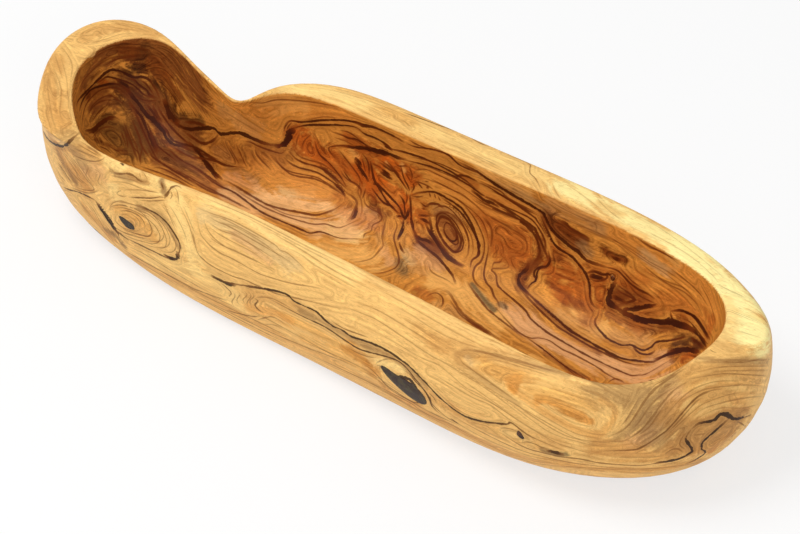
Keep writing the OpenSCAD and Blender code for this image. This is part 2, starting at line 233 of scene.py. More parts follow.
BURL_VEINS = [
    (0.8, 0.8, [(352, 121), (362, 125), (375, 128), (395, 137), (405, 143)]),
    (0.85, 0.6, [(357, 128), (365, 134), (375, 138), (384, 143), (391, 149)]),
    (0.95, 1.0, [(340, 146), (352, 147), (384, 152), (399, 158), (408, 160)]),
    (0.85, 0.6, [(405, 160), (438, 169), (467, 184), (484, 196), (494, 199)]),
    (0.8, 0.55, [(385, 148), (400, 151), (420, 157), (430, 161), (460, 177), (480, 192)]),
    (0.7, 0.5, [(405, 143), (416, 147), (430, 149), (442, 152), (450, 156), (456, 161)]),
    (0.6, 0.4, [(412, 157), (430, 161), (443, 165), (466, 176)]),
    (0.9, 0.8, [(354, 160), (366, 177), (369, 183)]),
    (0.8, 0.6, [(370, 160), (373, 176), (376, 183), (389, 204), (401, 215)]),
    (0.85, 0.6, [(375, 181), (397, 204), (405, 217)]),
    (0.85, 0.9, [(379, 171), (393, 180)]),
    (0.7, 0.5, [(380, 160), (393, 170), (409, 192)]),
    (0.6, 0.4, [(386, 160), (402, 178)]),
    (0.6, 0.5, [(405, 172), (412, 184)]),
    (0.8, 0.6, [(399, 194), (404, 203), (405, 219)]),
    (0.75, 0.6, [(410, 193), (412, 229)]),
    (0.85, 0.6, [(410, 196), (418, 193), (434, 192), (448, 199), (456, 204), (463, 210), (470, 221),
        (475, 232), (478, 243), (478, 254), (472, 261), (470, 269)]),
    (0.6, 0.4, [(412, 184), (418, 182), (428, 186), (434, 190)]),
    (0.5, 0.4, [(370, 163), (378, 166), (384, 170)]),
    (0.6, 0.4, [(394, 217), (397, 226), (394, 238), (399, 258), (397, 266), (391, 270), (381, 273),
        (372, 273)]),
    (0.55, 0.4, [(364, 195), (365, 203), (371, 209), (379, 213), (382, 218), (379, 222), (373, 225),
        (371, 231), (366, 233)]),
    (0.5, 0.7, [(345, 192), (352, 196), (357, 202), (355, 209), (351, 217), (347, 221)]),
    (0.4, 0.4, [(357, 172), (360, 182), (358, 192), (361, 200), (362, 209), (360, 218)]),
    (0.35, 0.4, [(385, 212), (386, 220), (383, 230), (384, 240)]),
    (0.4, 0.4, [(354, 262), (363, 261), (372, 258), (378, 252), (382, 245)]),
    (0.9, 0.6, [(401, 222), (404, 228), (398, 239)]),
    (0.8, 0.7, [(413, 228), (416, 236), (420, 243), (434, 254), (441, 261), (452, 275), (456, 285)]),
    (0.8, 0.7, [(425, 222), (428, 229), (437, 243), (443, 250), (450, 257), (458, 263), (466, 267)]),
    (0.4, 0.4, [(428, 262), (432, 272), (447, 280), (452, 284)]),
    (0.6, 0.4, [(426, 297), (431, 294), (437, 293), (442, 297), (443, 303), (440, 308)]),
    (0.5, 0.8, [(441, 290), (448, 292), (454, 300), (459, 309), (467, 317), (503, 342)]),
    (0.5, 0.5, [(450, 300), (456, 309), (463, 317), (482, 331)]),
    (0.5, 0.4, [(428, 171), (443, 177), (458, 185), (486, 204), (500, 212)]),
    (0.45, 0.4, [(420, 177), (438, 183), (453, 190), (468, 199), (482, 211), (494, 224)]),
    (0.55, 0.4, [(440, 191), (455, 198), (468, 207), (480, 218), (486, 230), (489, 243)]),
    (0.6, 0.5, [(456, 198), (464, 205), (473, 216), (480, 229), (484, 241), (484, 252), (481, 261),
        (475, 267), (473, 276), (477, 284), (488, 293)]),
    (0.65, 0.5, [(488, 240), (488, 252), (484, 272), (486, 282), (491, 288), (494, 296), (498, 302),
        (500, 309)]),
    (0.95, 1.5, [(361, 147), (390, 155)]),
    (0.85, 1.0, [(383, 143), (393, 151)]),
    (0.9, 1.1, [(354, 159), (358, 161), (362, 168)]),
    (0.7, 0.5, [(362, 153), (367, 160), (369, 168), (369, 178)]),
    (0.75, 0.5, [(370, 160), (375, 180), (379, 184)]),
    (0.9, 1.0, [(372, 183), (377, 184), (381, 188)]),
    (0.8, 0.5, [(371, 187), (380, 199), (386, 204), (393, 207), (398, 214)]),
    (0.7, 0.5, [(378, 161), (390, 170), (396, 172), (403, 184)]),
    (0.7, 0.5, [(400, 164), (404, 178), (409, 187)]),
    (0.6, 0.4, [(394, 162), (399, 166), (406, 166), (410, 168)]),
    (0.6, 0.9, [(380, 205), (379, 211), (382, 216)]),
    (0.7, 0.35, [(437, 216), (443, 213), (451, 218), (458, 227), (463, 239), (462, 249), (456, 252),
        (449, 247), (441, 237), (437, 227), (437, 216)]),
    (0.7, 0.35, [(446, 223), (452, 226), (457, 234), (458, 243), (454, 244), (448, 238), (444, 230),
        (446, 223)]),
    (0.7, 0.35, [(432, 210), (441, 206), (450, 209), (459, 219), (466, 231), (469, 243), (467, 254)]),
    (0.5, 0.3, [(449, 229), (453, 233), (454, 238)]),
    (0.9, 0.9, [(399, 206), (402, 214), (405, 218), (408, 213), (409, 207)]),
    (0.9, 0.8, [(404, 218), (402, 230), (397, 241)]),
    (0.85, 0.7, [(411, 216), (414, 233)]),
    (0.8, 0.6, [(395, 217), (399, 216), (404, 218)]),
    (0.7, 0.5, [(399, 241), (401, 248), (405, 254)]),
    (0.85, 0.8, [(427, 226), (432, 235), (442, 249)]),
    (0.85, 0.8, [(414, 234), (420, 239), (428, 241), (434, 246)]),
    (0.8, 0.5, [(417, 182), (423, 189)]),
    (0.8, 0.7, [(425, 187), (430, 188)]),
    (0.6, 0.4, [(423, 181), (430, 182)]),
    (0.7, 0.5, [(412, 181), (414, 187), (411, 193)]),
    (0.7, 0.5, [(404, 180), (408, 186), (410, 192)]),
    (0.6, 0.5, [(409, 166), (412, 175), (411, 182)]),
    (0.7, 0.4, [(412, 196), (418, 197), (424, 196)]),
    (0.7, 0.4, [(420, 202), (425, 206), (430, 207)]),
    (0.6, 0.35, [(421, 208), (427, 210)]),
    (0.7, 0.4, [(429, 192), (431, 198)]),
    (0.7, 0.4, [(434, 193), (436, 199)]),
    (0.6, 0.4, [(438, 196), (441, 202)]),
    (0.7, 0.5, [(417, 215), (430, 216)]),
    (0.8, 0.6, [(419, 218), (426, 221), (430, 225)]),
    (0.6, 0.4, [(408, 139), (416, 144), (426, 148), (432, 149)]),
    (0.75, 0.5, [(437, 151), (448, 155), (460, 165), (480, 174)]),
    (0.5, 0.35, [(415, 170), (428, 170), (452, 182)]),
    (0.45, 0.35, [(430, 178), (452, 190), (462, 194), (474, 204)]),
    (0.75, 0.6, [(454, 176), (466, 176), (478, 182)]),
    (0.5, 0.4, [(420, 163), (455, 178), (468, 185), (480, 195)]),
    (0.4, 0.35, [(383, 219), (385, 226), (382, 236), (383, 246), (376, 254)]),
    (0.6, 0.45, [(480, 181), (500, 191), (510, 199), (540, 215)]),
    (0.8, 0.9, [(470, 189), (484, 200), (492, 203), (500, 208)]),
    (0.7, 0.6, [(500, 208), (508, 212), (532, 228), (537, 236), (538, 246)]),
    (0.7, 0.5, [(484, 197), (494, 200), (504, 206), (526, 216), (534, 222), (541, 232), (545, 242),
        (546, 252), (550, 260)]),
    (0.4, 0.35, [(470, 196), (480, 204), (518, 221)]),
    (0.45, 0.5, [(482, 212), (520, 234), (526, 241), (527, 250)]),
    (0.5, 0.7, [(482, 216), (489, 224), (492, 232), (491, 248)]),
    (0.4, 0.35, [(500, 240), (503, 248), (503, 256)]),
    (0.4, 0.4, [(511, 256), (512, 263), (517, 271)]),
    (0.7, 0.4, [(343, 170), (350, 180), (355, 183)]),
    (0.8, 0.9, [(357, 206), (356, 212), (354, 217), (350, 220)]),
    (0.9, 0.8, [(381, 169), (391, 176)]),
    (0.6, 0.35, [(362, 158), (366, 173)]),
    (0.6, 0.35, [(366, 188), (362, 200)]),
    (0.6, 0.4, [(405, 206), (407, 199), (406, 190)]),
]
EYE_RING_VEINS = [
    (0.9, 0.5, [(443, 231), (447, 237), (451, 241), (455, 241), (457, 237), (455, 231)]),
    (0.7, 0.7, [(438, 222), (441, 217), (446, 218), (451, 222), (460, 236), (461, 243), (458, 250),
        (454, 252), (449, 248), (444, 242), (437, 228), (438, 222)]),
    (0.5, 0.5, [(435, 217), (440, 212), (449, 213), (457, 219), (463, 226), (467, 235), (469, 245),
        (468, 254), (464, 260)]),
    (0.45, 0.4, [(441, 226), (444, 222), (449, 224), (453, 230), (457, 238), (458, 245), (454, 248)]),
    (0.4, 0.35, [(447, 213), (456, 216), (463, 222), (468, 230), (472, 239), (473, 250), (471, 258)]),
    (0.5, 0.4, [(437, 231), (441, 239), (446, 246), (452, 251)]),
    (0.5, 0.35, [(434, 229), (438, 238), (443, 246), (449, 253), (456, 257)]),
    (0.85, 0.8, [(429, 214), (432, 231), (439, 246), (449, 259), (464, 268)]),
    (0.85, 0.6, [(441, 197), (462, 214), (478, 241), (479, 248), (478, 256), (472, 260), (470, 268)]),
    (0.7, 0.7, [(424, 207), (430, 204), (437, 204), (444, 208)]),
    (0.7, 0.6, [(586, 274), (592, 271), (600, 273), (607, 276), (604, 280), (596, 281), (588, 278)]),
]
FLOOR_VEINS = [
    (0.7, 0.5, [(503, 257), (508, 263), (507, 268), (492, 269), (496, 275), (497, 283), (501, 289),
        (524, 309), (531, 319), (543, 329), (555, 337), (592, 358), (627, 374), (638, 375), (648, 373),
        (672, 359)]),
    (0.5, 0.4, [(492, 269), (494, 263), (500, 262), (503, 257)]),
    (0.35, 0.4, [(512, 232), (521, 237), (527, 243), (526, 252), (520, 256), (510, 256)]),
    (0.3, 0.4, [(500, 222), (514, 228), (526, 236)]),
    (0.85, 0.7, [(519, 283), (533, 298), (566, 327), (577, 335), (612, 354), (625, 359), (650, 362),
        (657, 360), (664, 356), (672, 354)]),
    (0.7, 0.5, [(516, 281), (521, 290), (537, 307), (556, 325), (566, 332), (590, 346), (615, 358),
        (628, 363), (640, 365), (652, 364)]),
    (0.9, 0.6, [(548, 268), (540, 268), (537, 273), (536, 280), (530, 285), (527, 290)]),
    (0.6, 0.5, [(467, 281), (472, 289), (485, 306), (492, 313), (524, 338)]),
    (0.6, 0.4, [(495, 307), (511, 325), (520, 333), (530, 338), (540, 338), (550, 341), (562, 349),
        (575, 355), (597, 367), (607, 374), (625, 383), (640, 383), (662, 377), (675, 371)]),
    (0.75, 0.5, [(526, 337), (543, 349), (562, 364), (586, 379), (596, 383), (620, 388)]),
    (0.6, 0.4, [(560, 362), (576, 376), (583, 380)]),
    (0.6, 0.4, [(606, 384), (614, 379), (622, 381), (627, 386)]),
    (0.6, 0.8, [(462, 314), (470, 321), (490, 335), (497, 341)]),
    (0.8, 0.5, [(586, 273), (594, 272), (602, 275), (608, 274), (613, 277), (617, 281)]),
    (0.85, 1.0, [(588, 276), (605, 280)]),
    (0.95, 1.5, [(617, 281), (612, 287), (609, 295), (609, 302), (614, 306), (620, 309)]),
    (0.97, 1.7, [(614, 306), (622, 311), (640, 319), (660, 322), (672, 322), (690, 329), (697, 334)]),
    (0.95, 0.8, [(690, 328), (697, 334), (703, 341), (707, 348)]),
    (0.85, 0.6, [(622, 309), (635, 308), (658, 304)]),
    (0.9, 0.7, [(670, 311), (683, 311), (697, 319), (711, 341)]),
    (0.8, 0.5, [(670, 311), (672, 318), (677, 324), (686, 329)]),
    (0.7, 0.4, [(684, 318), (692, 324), (704, 340), (709, 345)]),
    (0.7, 0.5, [(616, 288), (622, 293), (634, 299), (629, 302), (620, 303)]),
    (0.6, 0.4, [(628, 283), (633, 290), (640, 296), (656, 304)]),
    (0.85, 0.6, [(599, 309), (598, 315), (595, 321), (597, 327), (607, 338), (614, 342), (622, 345),
        (631, 345), (637, 348), (644, 350), (651, 347), (657, 342), (672, 340), (689, 336)]),
    (0.8, 0.6, [(632, 345), (636, 350), (642, 354), (650, 354), (656, 350)]),
    (0.95, 0.9, [(652, 360), (684, 350), (700, 352)]),
    (0.8, 0.8, [(690, 337), (697, 342), (703, 348)]),
    (0.9, 1.2, [(588, 275), (598, 277), (606, 280)]),
    (0.7, 0.6, [(616, 284), (632, 296), (634, 300), (626, 303)]),
    (0.8, 0.9, [(612, 296), (626, 302)]),
    (0.9, 1.2, [(622, 309), (634, 309), (657, 305)]),
    (0.97, 1.3, [(622, 311), (634, 317), (648, 321), (660, 323), (672, 323), (694, 331)]),
    (0.8, 0.7, [(680, 310), (688, 313), (696, 319), (709, 340)]),
    (0.95, 1.2, [(666, 353), (678, 350), (692, 350), (700, 352)]),
]
FAR_WALL_VEINS = [
    (0.95, 0.9, [(456, 161), (476, 171), (500, 187), (540, 211), (545, 217), (550, 226), (556, 234),
        (571, 247), (578, 251), (583, 257), (590, 262), (606, 267), (612, 268)]),
    (0.75, 0.5, [(606, 267), (618, 271), (630, 283), (638, 289), (648, 294), (656, 300)]),
    (0.6, 0.4, [(619, 267), (632, 281), (642, 288)]),
    (0.9, 0.7, [(540, 214), (545, 226), (556, 246), (572, 257), (584, 271), (588, 279), (590, 288),
        (590, 297), (593, 305), (599, 309)]),
    (0.7, 0.5, [(490, 190), (503, 196), (527, 210), (540, 216)]),
    (0.7, 0.5, [(476, 182), (490, 188), (530, 214), (538, 222), (549, 240)]),
    (0.75, 0.6, [(483, 196), (497, 203), (531, 225), (537, 233), (549, 262), (548, 268)]),
    (0.75, 0.8, [(478, 200), (518, 220), (528, 227), (535, 236), (539, 246), (539, 256), (530, 268)]),
    (0.35, 0.4, [(560, 217), (620, 243), (650, 262), (665, 270), (680, 280), (695, 292)]),
    (0.45, 0.4, [(628, 231), (648, 246), (660, 251), (670, 257), (680, 265)]),
    (0.35, 0.35, [(600, 230), (645, 261), (660, 270), (675, 281), (690, 294), (702, 310)]),
    (0.3, 0.35, [(640, 268), (670, 286), (685, 298), (697, 312)]),
    (0.3, 0.35, [(545, 198), (560, 207), (576, 215), (592, 222), (610, 228)]),
    (0.85, 0.7, [(548, 250), (550, 260), (547, 266), (538, 268), (534, 274), (536, 280), (530, 284)]),
    (0.9, 1.0, [(530, 262), (526, 270), (519, 276), (519, 284), (530, 296)]),
    (0.7, 0.8, [(557, 219), (566, 224), (572, 229), (590, 239)]),
    (0.5, 0.4, [(632, 232), (645, 243), (680, 262)]),
    (0.5, 0.4, [(670, 268), (690, 284), (700, 294), (708, 306)]),
    (0.45, 0.35, [(640, 262), (655, 275), (670, 285), (684, 292), (696, 303), (703, 316)]),
    (0.4, 0.35, [(655, 276), (668, 282), (682, 287), (694, 296)]),
    (0.4, 0.35, [(700, 284), (708, 298), (713, 312), (716, 326)]),
    (0.8, 0.8, [(611, 256), (616, 259), (622, 260)]),
]
HOLLOW_VEINS = (
    LEFT_END_VEINS + TONGUE_VEINS + BURL_VEINS + EYE_RING_VEINS + FLOOR_VEINS + FAR_WALL_VEINS
)
LEFT_FLANK_VEINS = [
    (0.95, 1.3, [(41, 125), (44, 133), (50, 141), (57, 145), (65, 145), (82, 130)]),
    (0.5, 0.35, [(76, 143), (100, 157)]),
    (0.5, 0.35, [(80, 141), (102, 155)]),
    (0.45, 0.35, [(72, 147), (96, 159)]),
    (0.6, 0.4, [(70, 153), (80, 158), (90, 161), (98, 161), (104, 158), (103, 153)]),
    (0.75, 0.6, [(57, 161), (70, 180), (74, 184)]),
    (0.6, 0.5, [(56, 167), (60, 175), (66, 182)]),
    (0.5, 0.4, [(64, 158), (68, 167), (73, 174), (79, 180), (85, 184)]),
    (0.5, 0.4, [(73, 158), (84, 176), (94, 189), (85, 190), (76, 187)]),
    (0.4, 0.4, [(84, 160), (88, 168), (86, 176), (92, 183)]),
    (0.85, 0.6, [(63, 187), (70, 190), (78, 192), (93, 199), (98, 203)]),
    (0.95, 1.6, [(95, 200), (112, 226), (117, 232), (120, 239)]),
    (0.75, 0.8, [(115, 230), (130, 241)]),
    (0.75, 0.6, [(126, 238), (163, 256), (172, 260), (177, 261)]),
    (0.85, 1.4, [(163, 254), (175, 260)]),
    (0.8, 0.6, [(134, 203), (155, 213), (163, 219), (170, 227), (180, 245), (176, 260)]),
    (0.5, 0.4, [(165, 224), (174, 239), (176, 247), (172, 252), (163, 252)]),
    (0.5, 0.4, [(85, 200), (93, 209), (104, 228), (112, 237)]),
    (0.45, 0.4, [(74, 195), (103, 231), (114, 243), (128, 255)]),
    (0.6, 0.35, [(119, 211), (128, 211), (136, 214), (142, 219), (145, 226), (144, 230)]),
    (0.6, 0.35, [(109, 213), (111, 207), (120, 205), (133, 208), (143, 214), (149, 222), (152, 231),
        (149, 236), (140, 235), (128, 231)]),
    (0.5, 0.35, [(108, 206), (114, 202), (126, 203), (140, 207), (152, 214), (160, 224), (164, 234),
        (160, 241), (148, 241), (136, 237)]),
    (0.45, 0.35, [(131, 207), (146, 211), (158, 219), (166, 229), (170, 240), (166, 247), (154, 247),
        (141, 243)]),
    (0.5, 0.35, [(117, 214), (115, 219), (118, 224), (126, 229), (135, 231), (141, 230)]),
    (0.5, 0.35, [(112, 214), (111, 221), (116, 228), (126, 233), (138, 236)]),
    (0.5, 0.3, [(131, 214), (137, 218), (140, 223), (139, 228)]),
    (0.5, 0.3, [(116, 208), (124, 208), (133, 211), (140, 216)]),
    (0.65, 0.8, [(112, 168), (115, 173), (128, 174), (134, 176), (139, 180), (145, 182), (148, 180)]),
    (0.4, 0.35, [(108, 175), (132, 180), (140, 183)]),
    (0.5, 0.35, [(139, 172), (141, 179)]),
    (0.5, 0.35, [(143, 172), (148, 180)]),
    (0.4, 0.35, [(108, 182), (120, 182), (130, 184), (146, 190), (156, 192), (163, 192)]),
    (0.5, 0.35, [(121, 190), (140, 190), (160, 193)]),
    (0.5, 0.4, [(122, 190), (117, 193), (121, 196), (128, 196)]),
    (0.7, 0.45, [(128, 197), (150, 198), (160, 197), (167, 198)]),
    (0.6, 0.4, [(138, 200), (150, 201), (168, 200)]),
    (0.7, 0.9, [(161, 181), (164, 191)]),
    (0.7, 0.6, [(163, 196), (168, 192), (172, 187), (178, 186), (182, 189)]),
    (0.6, 0.5, [(170, 190), (172, 195), (170, 200)]),
    (0.5, 0.35, [(172, 186), (177, 191), (179, 205)]),
    (0.95, 0.6, [(120, 162), (125, 166)]),
    (0.95, 2.6, [(96, 201), (119, 235)]),
    (0.9, 2.0, [(164, 255), (171, 258), (176, 259), (178, 251)]),
    (0.7, 1.0, [(170, 190), (164, 199)]),
    (0.5, 0.35, [(62, 152), (70, 162), (82, 180)]),
    (0.5, 0.35, [(68, 152), (76, 163), (84, 172), (94, 188)]),
    (0.6, 0.5, [(57, 163), (72, 184)]),
    (0.5, 0.35, [(70, 165), (76, 172), (79, 178), (90, 187)]),
    (0.5, 0.3, [(84, 145), (102, 156)]),
    (0.5, 0.3, [(74, 148), (100, 159)]),
    (0.55, 0.35, [(122, 208), (134, 211), (146, 218), (155, 226), (160, 236), (157, 243), (146, 243)]),
    (0.5, 0.3, [(128, 206), (140, 210), (152, 217), (161, 227), (166, 238), (165, 247), (155, 249)]),
    (0.6, 0.35, [(120, 226), (128, 231), (146, 236), (152, 236)]),
    (0.5, 0.3, [(118, 229), (127, 234), (150, 240)]),
    (0.45, 0.3, [(122, 234), (134, 239), (148, 243), (158, 247)]),
    (0.5, 0.4, [(109, 208), (113, 203), (120, 201), (130, 203)]),
    (0.6, 0.5, [(118, 245), (134, 256), (205, 295)]),
    (0.5, 0.4, [(128, 246), (146, 255), (180, 276), (215, 296)]),
    (0.5, 0.4, [(100, 190), (90, 193), (80, 191), (70, 187)]),
    (0.45, 0.35, [(94, 168), (100, 174), (98, 182), (104, 188)]),
]
FLANK_LINES = [
    (0.45, 0.35, [(163, 201), (176, 231)]),
    (0.55, 0.4, [(178, 198), (181, 208), (189, 225), (197, 251), (203, 259), (212, 266), (232, 276),
        (245, 280), (265, 289), (285, 296), (330, 305)]),
    (0.5, 0.4, [(196, 212), (200, 232), (205, 240), (213, 248), (222, 254), (233, 259), (256, 272),
        (266, 276), (290, 283), (318, 288), (330, 293)]),
    (0.45, 0.4, [(203, 214), (205, 224), (209, 232), (216, 240), (226, 247), (238, 252), (274, 270)]),
    (0.45, 0.4, [(195, 205), (205, 211), (235, 222), (272, 243), (280, 250), (290, 255), (314, 278)]),
    (0.4, 0.4, [(212, 220), (224, 223), (238, 228), (252, 236), (266, 245), (278, 255), (284, 264)]),
    (0.35, 0.4, [(218, 229), (230, 232), (243, 239), (256, 248), (268, 258)]),
    (0.35, 0.4, [(183, 205), (196, 236)]),
    (0.4, 0.4, [(193, 193), (250, 217), (310, 248), (350, 267)]),
    (0.35, 0.4, [(240, 214), (365, 280)]),
    (0.4, 0.4, [(262, 227), (300, 249), (335, 271), (372, 290)]),
    (0.35, 0.4, [(285, 247), (300, 254), (312, 263), (325, 271), (365, 293)]),
    (0.4, 0.4, [(275, 292), (320, 304), (350, 310)]),
    (0.4, 0.4, [(330, 305), (350, 309), (366, 315), (382, 323), (430, 355), (445, 363), (488, 390),
        (524, 417), (548, 433)]),
    (0.4, 0.4, [(350, 300), (370, 307), (390, 317), (446, 352)]),
    (0.35, 0.4, [(370, 285), (395, 298), (468, 339), (495, 350)]),
    (0.35, 0.4, [(385, 300), (410, 314), (435, 330), (460, 342), (490, 351)]),
    (0.35, 0.4, [(360, 325), (380, 334), (420, 357), (440, 366), (465, 387), (480, 395), (540, 433),
        (575, 445), (600, 448)]),
    (0.4, 0.4, [(430, 372), (470, 396), (490, 405), (510, 420), (530, 432)]),
    (0.45, 0.7, [(458, 353), (467, 350), (492, 354), (575, 377)]),
    (0.45, 0.5, [(457, 355), (463, 363), (468, 367), (518, 402)]),
    (0.3, 0.4, [(475, 363), (488, 360), (504, 362), (560, 379)]),
    (0.25, 0.5, [(508, 380), (515, 378), (530, 379), (548, 383), (595, 398), (605, 403), (613, 412),
        (615, 422), (609, 433), (595, 434), (575, 428), (560, 421), (518, 394), (510, 387)]),
    (0.3, 0.5, [(538, 399), (552, 401), (580, 411), (591, 418), (592, 426), (582, 425), (568, 420),
        (538, 402)]),
    (0.4, 0.4, [(505, 396), (532, 416), (560, 433), (578, 439), (600, 442), (625, 441)]),
    (0.35, 0.4, [(495, 392), (540, 426), (556, 435), (575, 441), (600, 446), (630, 446)]),
    (0.35, 0.4, [(520, 401), (545, 417), (572, 432), (590, 437), (606, 439)]),
    (0.5, 0.3, [(205, 214), (218, 222), (232, 228), (284, 258), (296, 267)]),
    (0.45, 0.3, [(206, 220), (220, 230), (236, 236), (264, 252), (278, 262)]),
    (0.45, 0.3, [(208, 226), (222, 236), (252, 252), (266, 262)]),
    (0.4, 0.3, [(206, 232), (218, 243), (262, 264)]),
    (0.45, 0.3, [(212, 216), (228, 221), (268, 243)]),
    (0.5, 0.35, [(192, 230), (197, 250)]),
    (0.4, 0.3, [(168, 203), (176, 216), (184, 232), (188, 246)]),
    (0.4, 0.3, [(160, 203), (170, 216), (178, 230)]),
    (0.4, 0.3, [(440, 355), (485, 386), (560, 430), (590, 443), (615, 446)]),
    (0.4, 0.3, [(440, 372), (470, 392), (495, 405), (525, 425), (555, 442), (572, 448), (590, 453),
        (615, 456)]),
    (0.4, 0.3, [(458, 378), (474, 388), (516, 418)]),
    (0.4, 0.3, [(478, 351), (546, 372)]),
]
DARK_LINE_VEINS = [
    (0.95, 1.5, [(210, 275), (226, 283), (237, 285)]),
    (0.9, 0.8, [(205, 273), (218, 279), (235, 284), (280, 292), (296, 302), (313, 310), (319, 314),
        (325, 320), (333, 326), (342, 330), (352, 337), (368, 342), (384, 349), (398, 358), (412, 369),
        (446, 403), (472, 419), (505, 424), (512, 423), (530, 436), (567, 452)]),
    (0.8, 0.5, [(268, 298), (300, 315), (325, 327), (346, 341), (362, 350), (398, 361), (416, 380),
        (427, 394), (434, 406), (448, 418), (461, 426)]),
    (0.6, 0.5, [(219, 281), (229, 290), (231, 294), (228, 297)]),
    (0.5, 0.3, [(236, 290), (240, 294), (237, 300), (240, 306)]),
    (0.5, 0.3, [(243, 290), (247, 295), (243, 300), (247, 306)]),
    (0.5, 0.3, [(250, 291), (254, 296), (250, 301), (252, 308)]),
    (0.7, 0.7, [(254, 298), (258, 301), (255, 305), (259, 310), (264, 313)]),
    (0.5, 0.4, [(255, 298), (262, 297), (270, 298), (278, 301), (292, 309)]),
    (0.6, 0.5, [(225, 310), (250, 316), (262, 316)]),
    (0.5, 0.5, [(257, 320), (272, 317), (287, 325)]),
    (0.5, 0.5, [(190, 286), (200, 291), (222, 299), (228, 300)]),
    (0.7, 0.5, [(380, 374), (383, 382), (388, 387), (396, 393), (413, 402), (421, 402), (425, 399),
        (423, 394), (418, 388)]),
    (0.5, 0.4, [(375, 364), (380, 361), (388, 359), (396, 360)]),
    (0.6, 0.4, [(430, 395), (431, 402), (434, 408)]),
    (0.75, 0.9, [(418, 394), (426, 401)]),
    (0.5, 0.4, [(376, 366), (380, 366), (379, 371)]),
    (0.6, 0.6, [(493, 428), (522, 446), (540, 452), (562, 457), (580, 459), (600, 463), (625, 465),
        (645, 465), (680, 459)]),
    (0.45, 0.35, [(497, 428), (505, 428), (514, 430), (520, 434), (523, 440), (521, 444)]),
    (0.6, 0.5, [(521, 443), (527, 442), (535, 444), (541, 447), (550, 449)]),
    (0.85, 1.5, [(545, 450), (565, 455)]),
    (0.8, 0.7, [(450, 418), (460, 425)]),
    (0.5, 0.4, [(450, 414), (474, 428), (515, 448), (545, 457), (580, 464), (630, 469)]),
    (0.5, 0.3, [(232, 290), (235, 296), (232, 302), (235, 308)]),
    (0.5, 0.3, [(247, 290), (251, 296), (247, 303), (250, 309)]),
    (0.5, 0.4, [(165, 274), (205, 296), (300, 342)]),
    (0.5, 0.5, [(190, 293), (240, 320), (290, 345)]),
    (0.4, 0.4, [(262, 324), (274, 325), (284, 329)]),
    (0.97, 1.5, [(388, 372), (394, 377), (402, 377), (410, 380), (415, 387), (418, 396)]),
    (0.6, 0.5, [(360, 362), (372, 370), (388, 386), (414, 403), (430, 412), (460, 426)]),
    (0.5, 0.4, [(300, 350), (372, 384), (414, 408), (440, 420)]),
    (0.5, 0.4, [(300, 345), (340, 360), (352, 366)]),
    (0.5, 0.4, [(345, 346), (356, 352), (366, 356), (378, 358)]),
    (0.8, 0.7, [(408, 372), (416, 382), (424, 390), (429, 398), (432, 406), (440, 414)]),
    (0.6, 0.5, [(428, 392), (434, 398), (437, 404)]),
    (0.6, 0.45, [(330, 320), (345, 329), (370, 338)]),
]
LOWER_EDGE_VEINS = [
    (0.45, 0.4, [(130, 252), (145, 262), (190, 287), (205, 293), (245, 312)]),
    (0.45, 0.4, [(125, 250), (140, 262), (185, 290)]),
    (0.5, 0.4, [(190, 295), (210, 303), (270, 332), (310, 349), (330, 360)]),
    (0.4, 0.4, [(240, 305), (262, 316), (358, 369)]),
    (0.45, 0.4, [(300, 340), (350, 362), (372, 374), (412, 400)]),
    (0.5, 0.4, [(345, 370), (405, 400), (420, 410), (435, 418), (450, 424), (470, 435), (490, 443)]),
    (0.45, 0.4, [(452, 428), (465, 436), (500, 452), (520, 459), (540, 464), (590, 468), (650, 471)]),
    (0.4, 0.4, [(420, 402), (480, 436), (505, 447), (530, 456), (560, 462)]),
    (0.45, 0.4, [(600, 467), (630, 469), (660, 468), (690, 464), (710, 459), (725, 452), (740, 441)]),
    (0.4, 0.3, [(610, 471), (640, 473), (668, 471), (708, 461)]),
    (0.4, 0.3, [(480, 446), (500, 455), (520, 462), (545, 467)]),
]
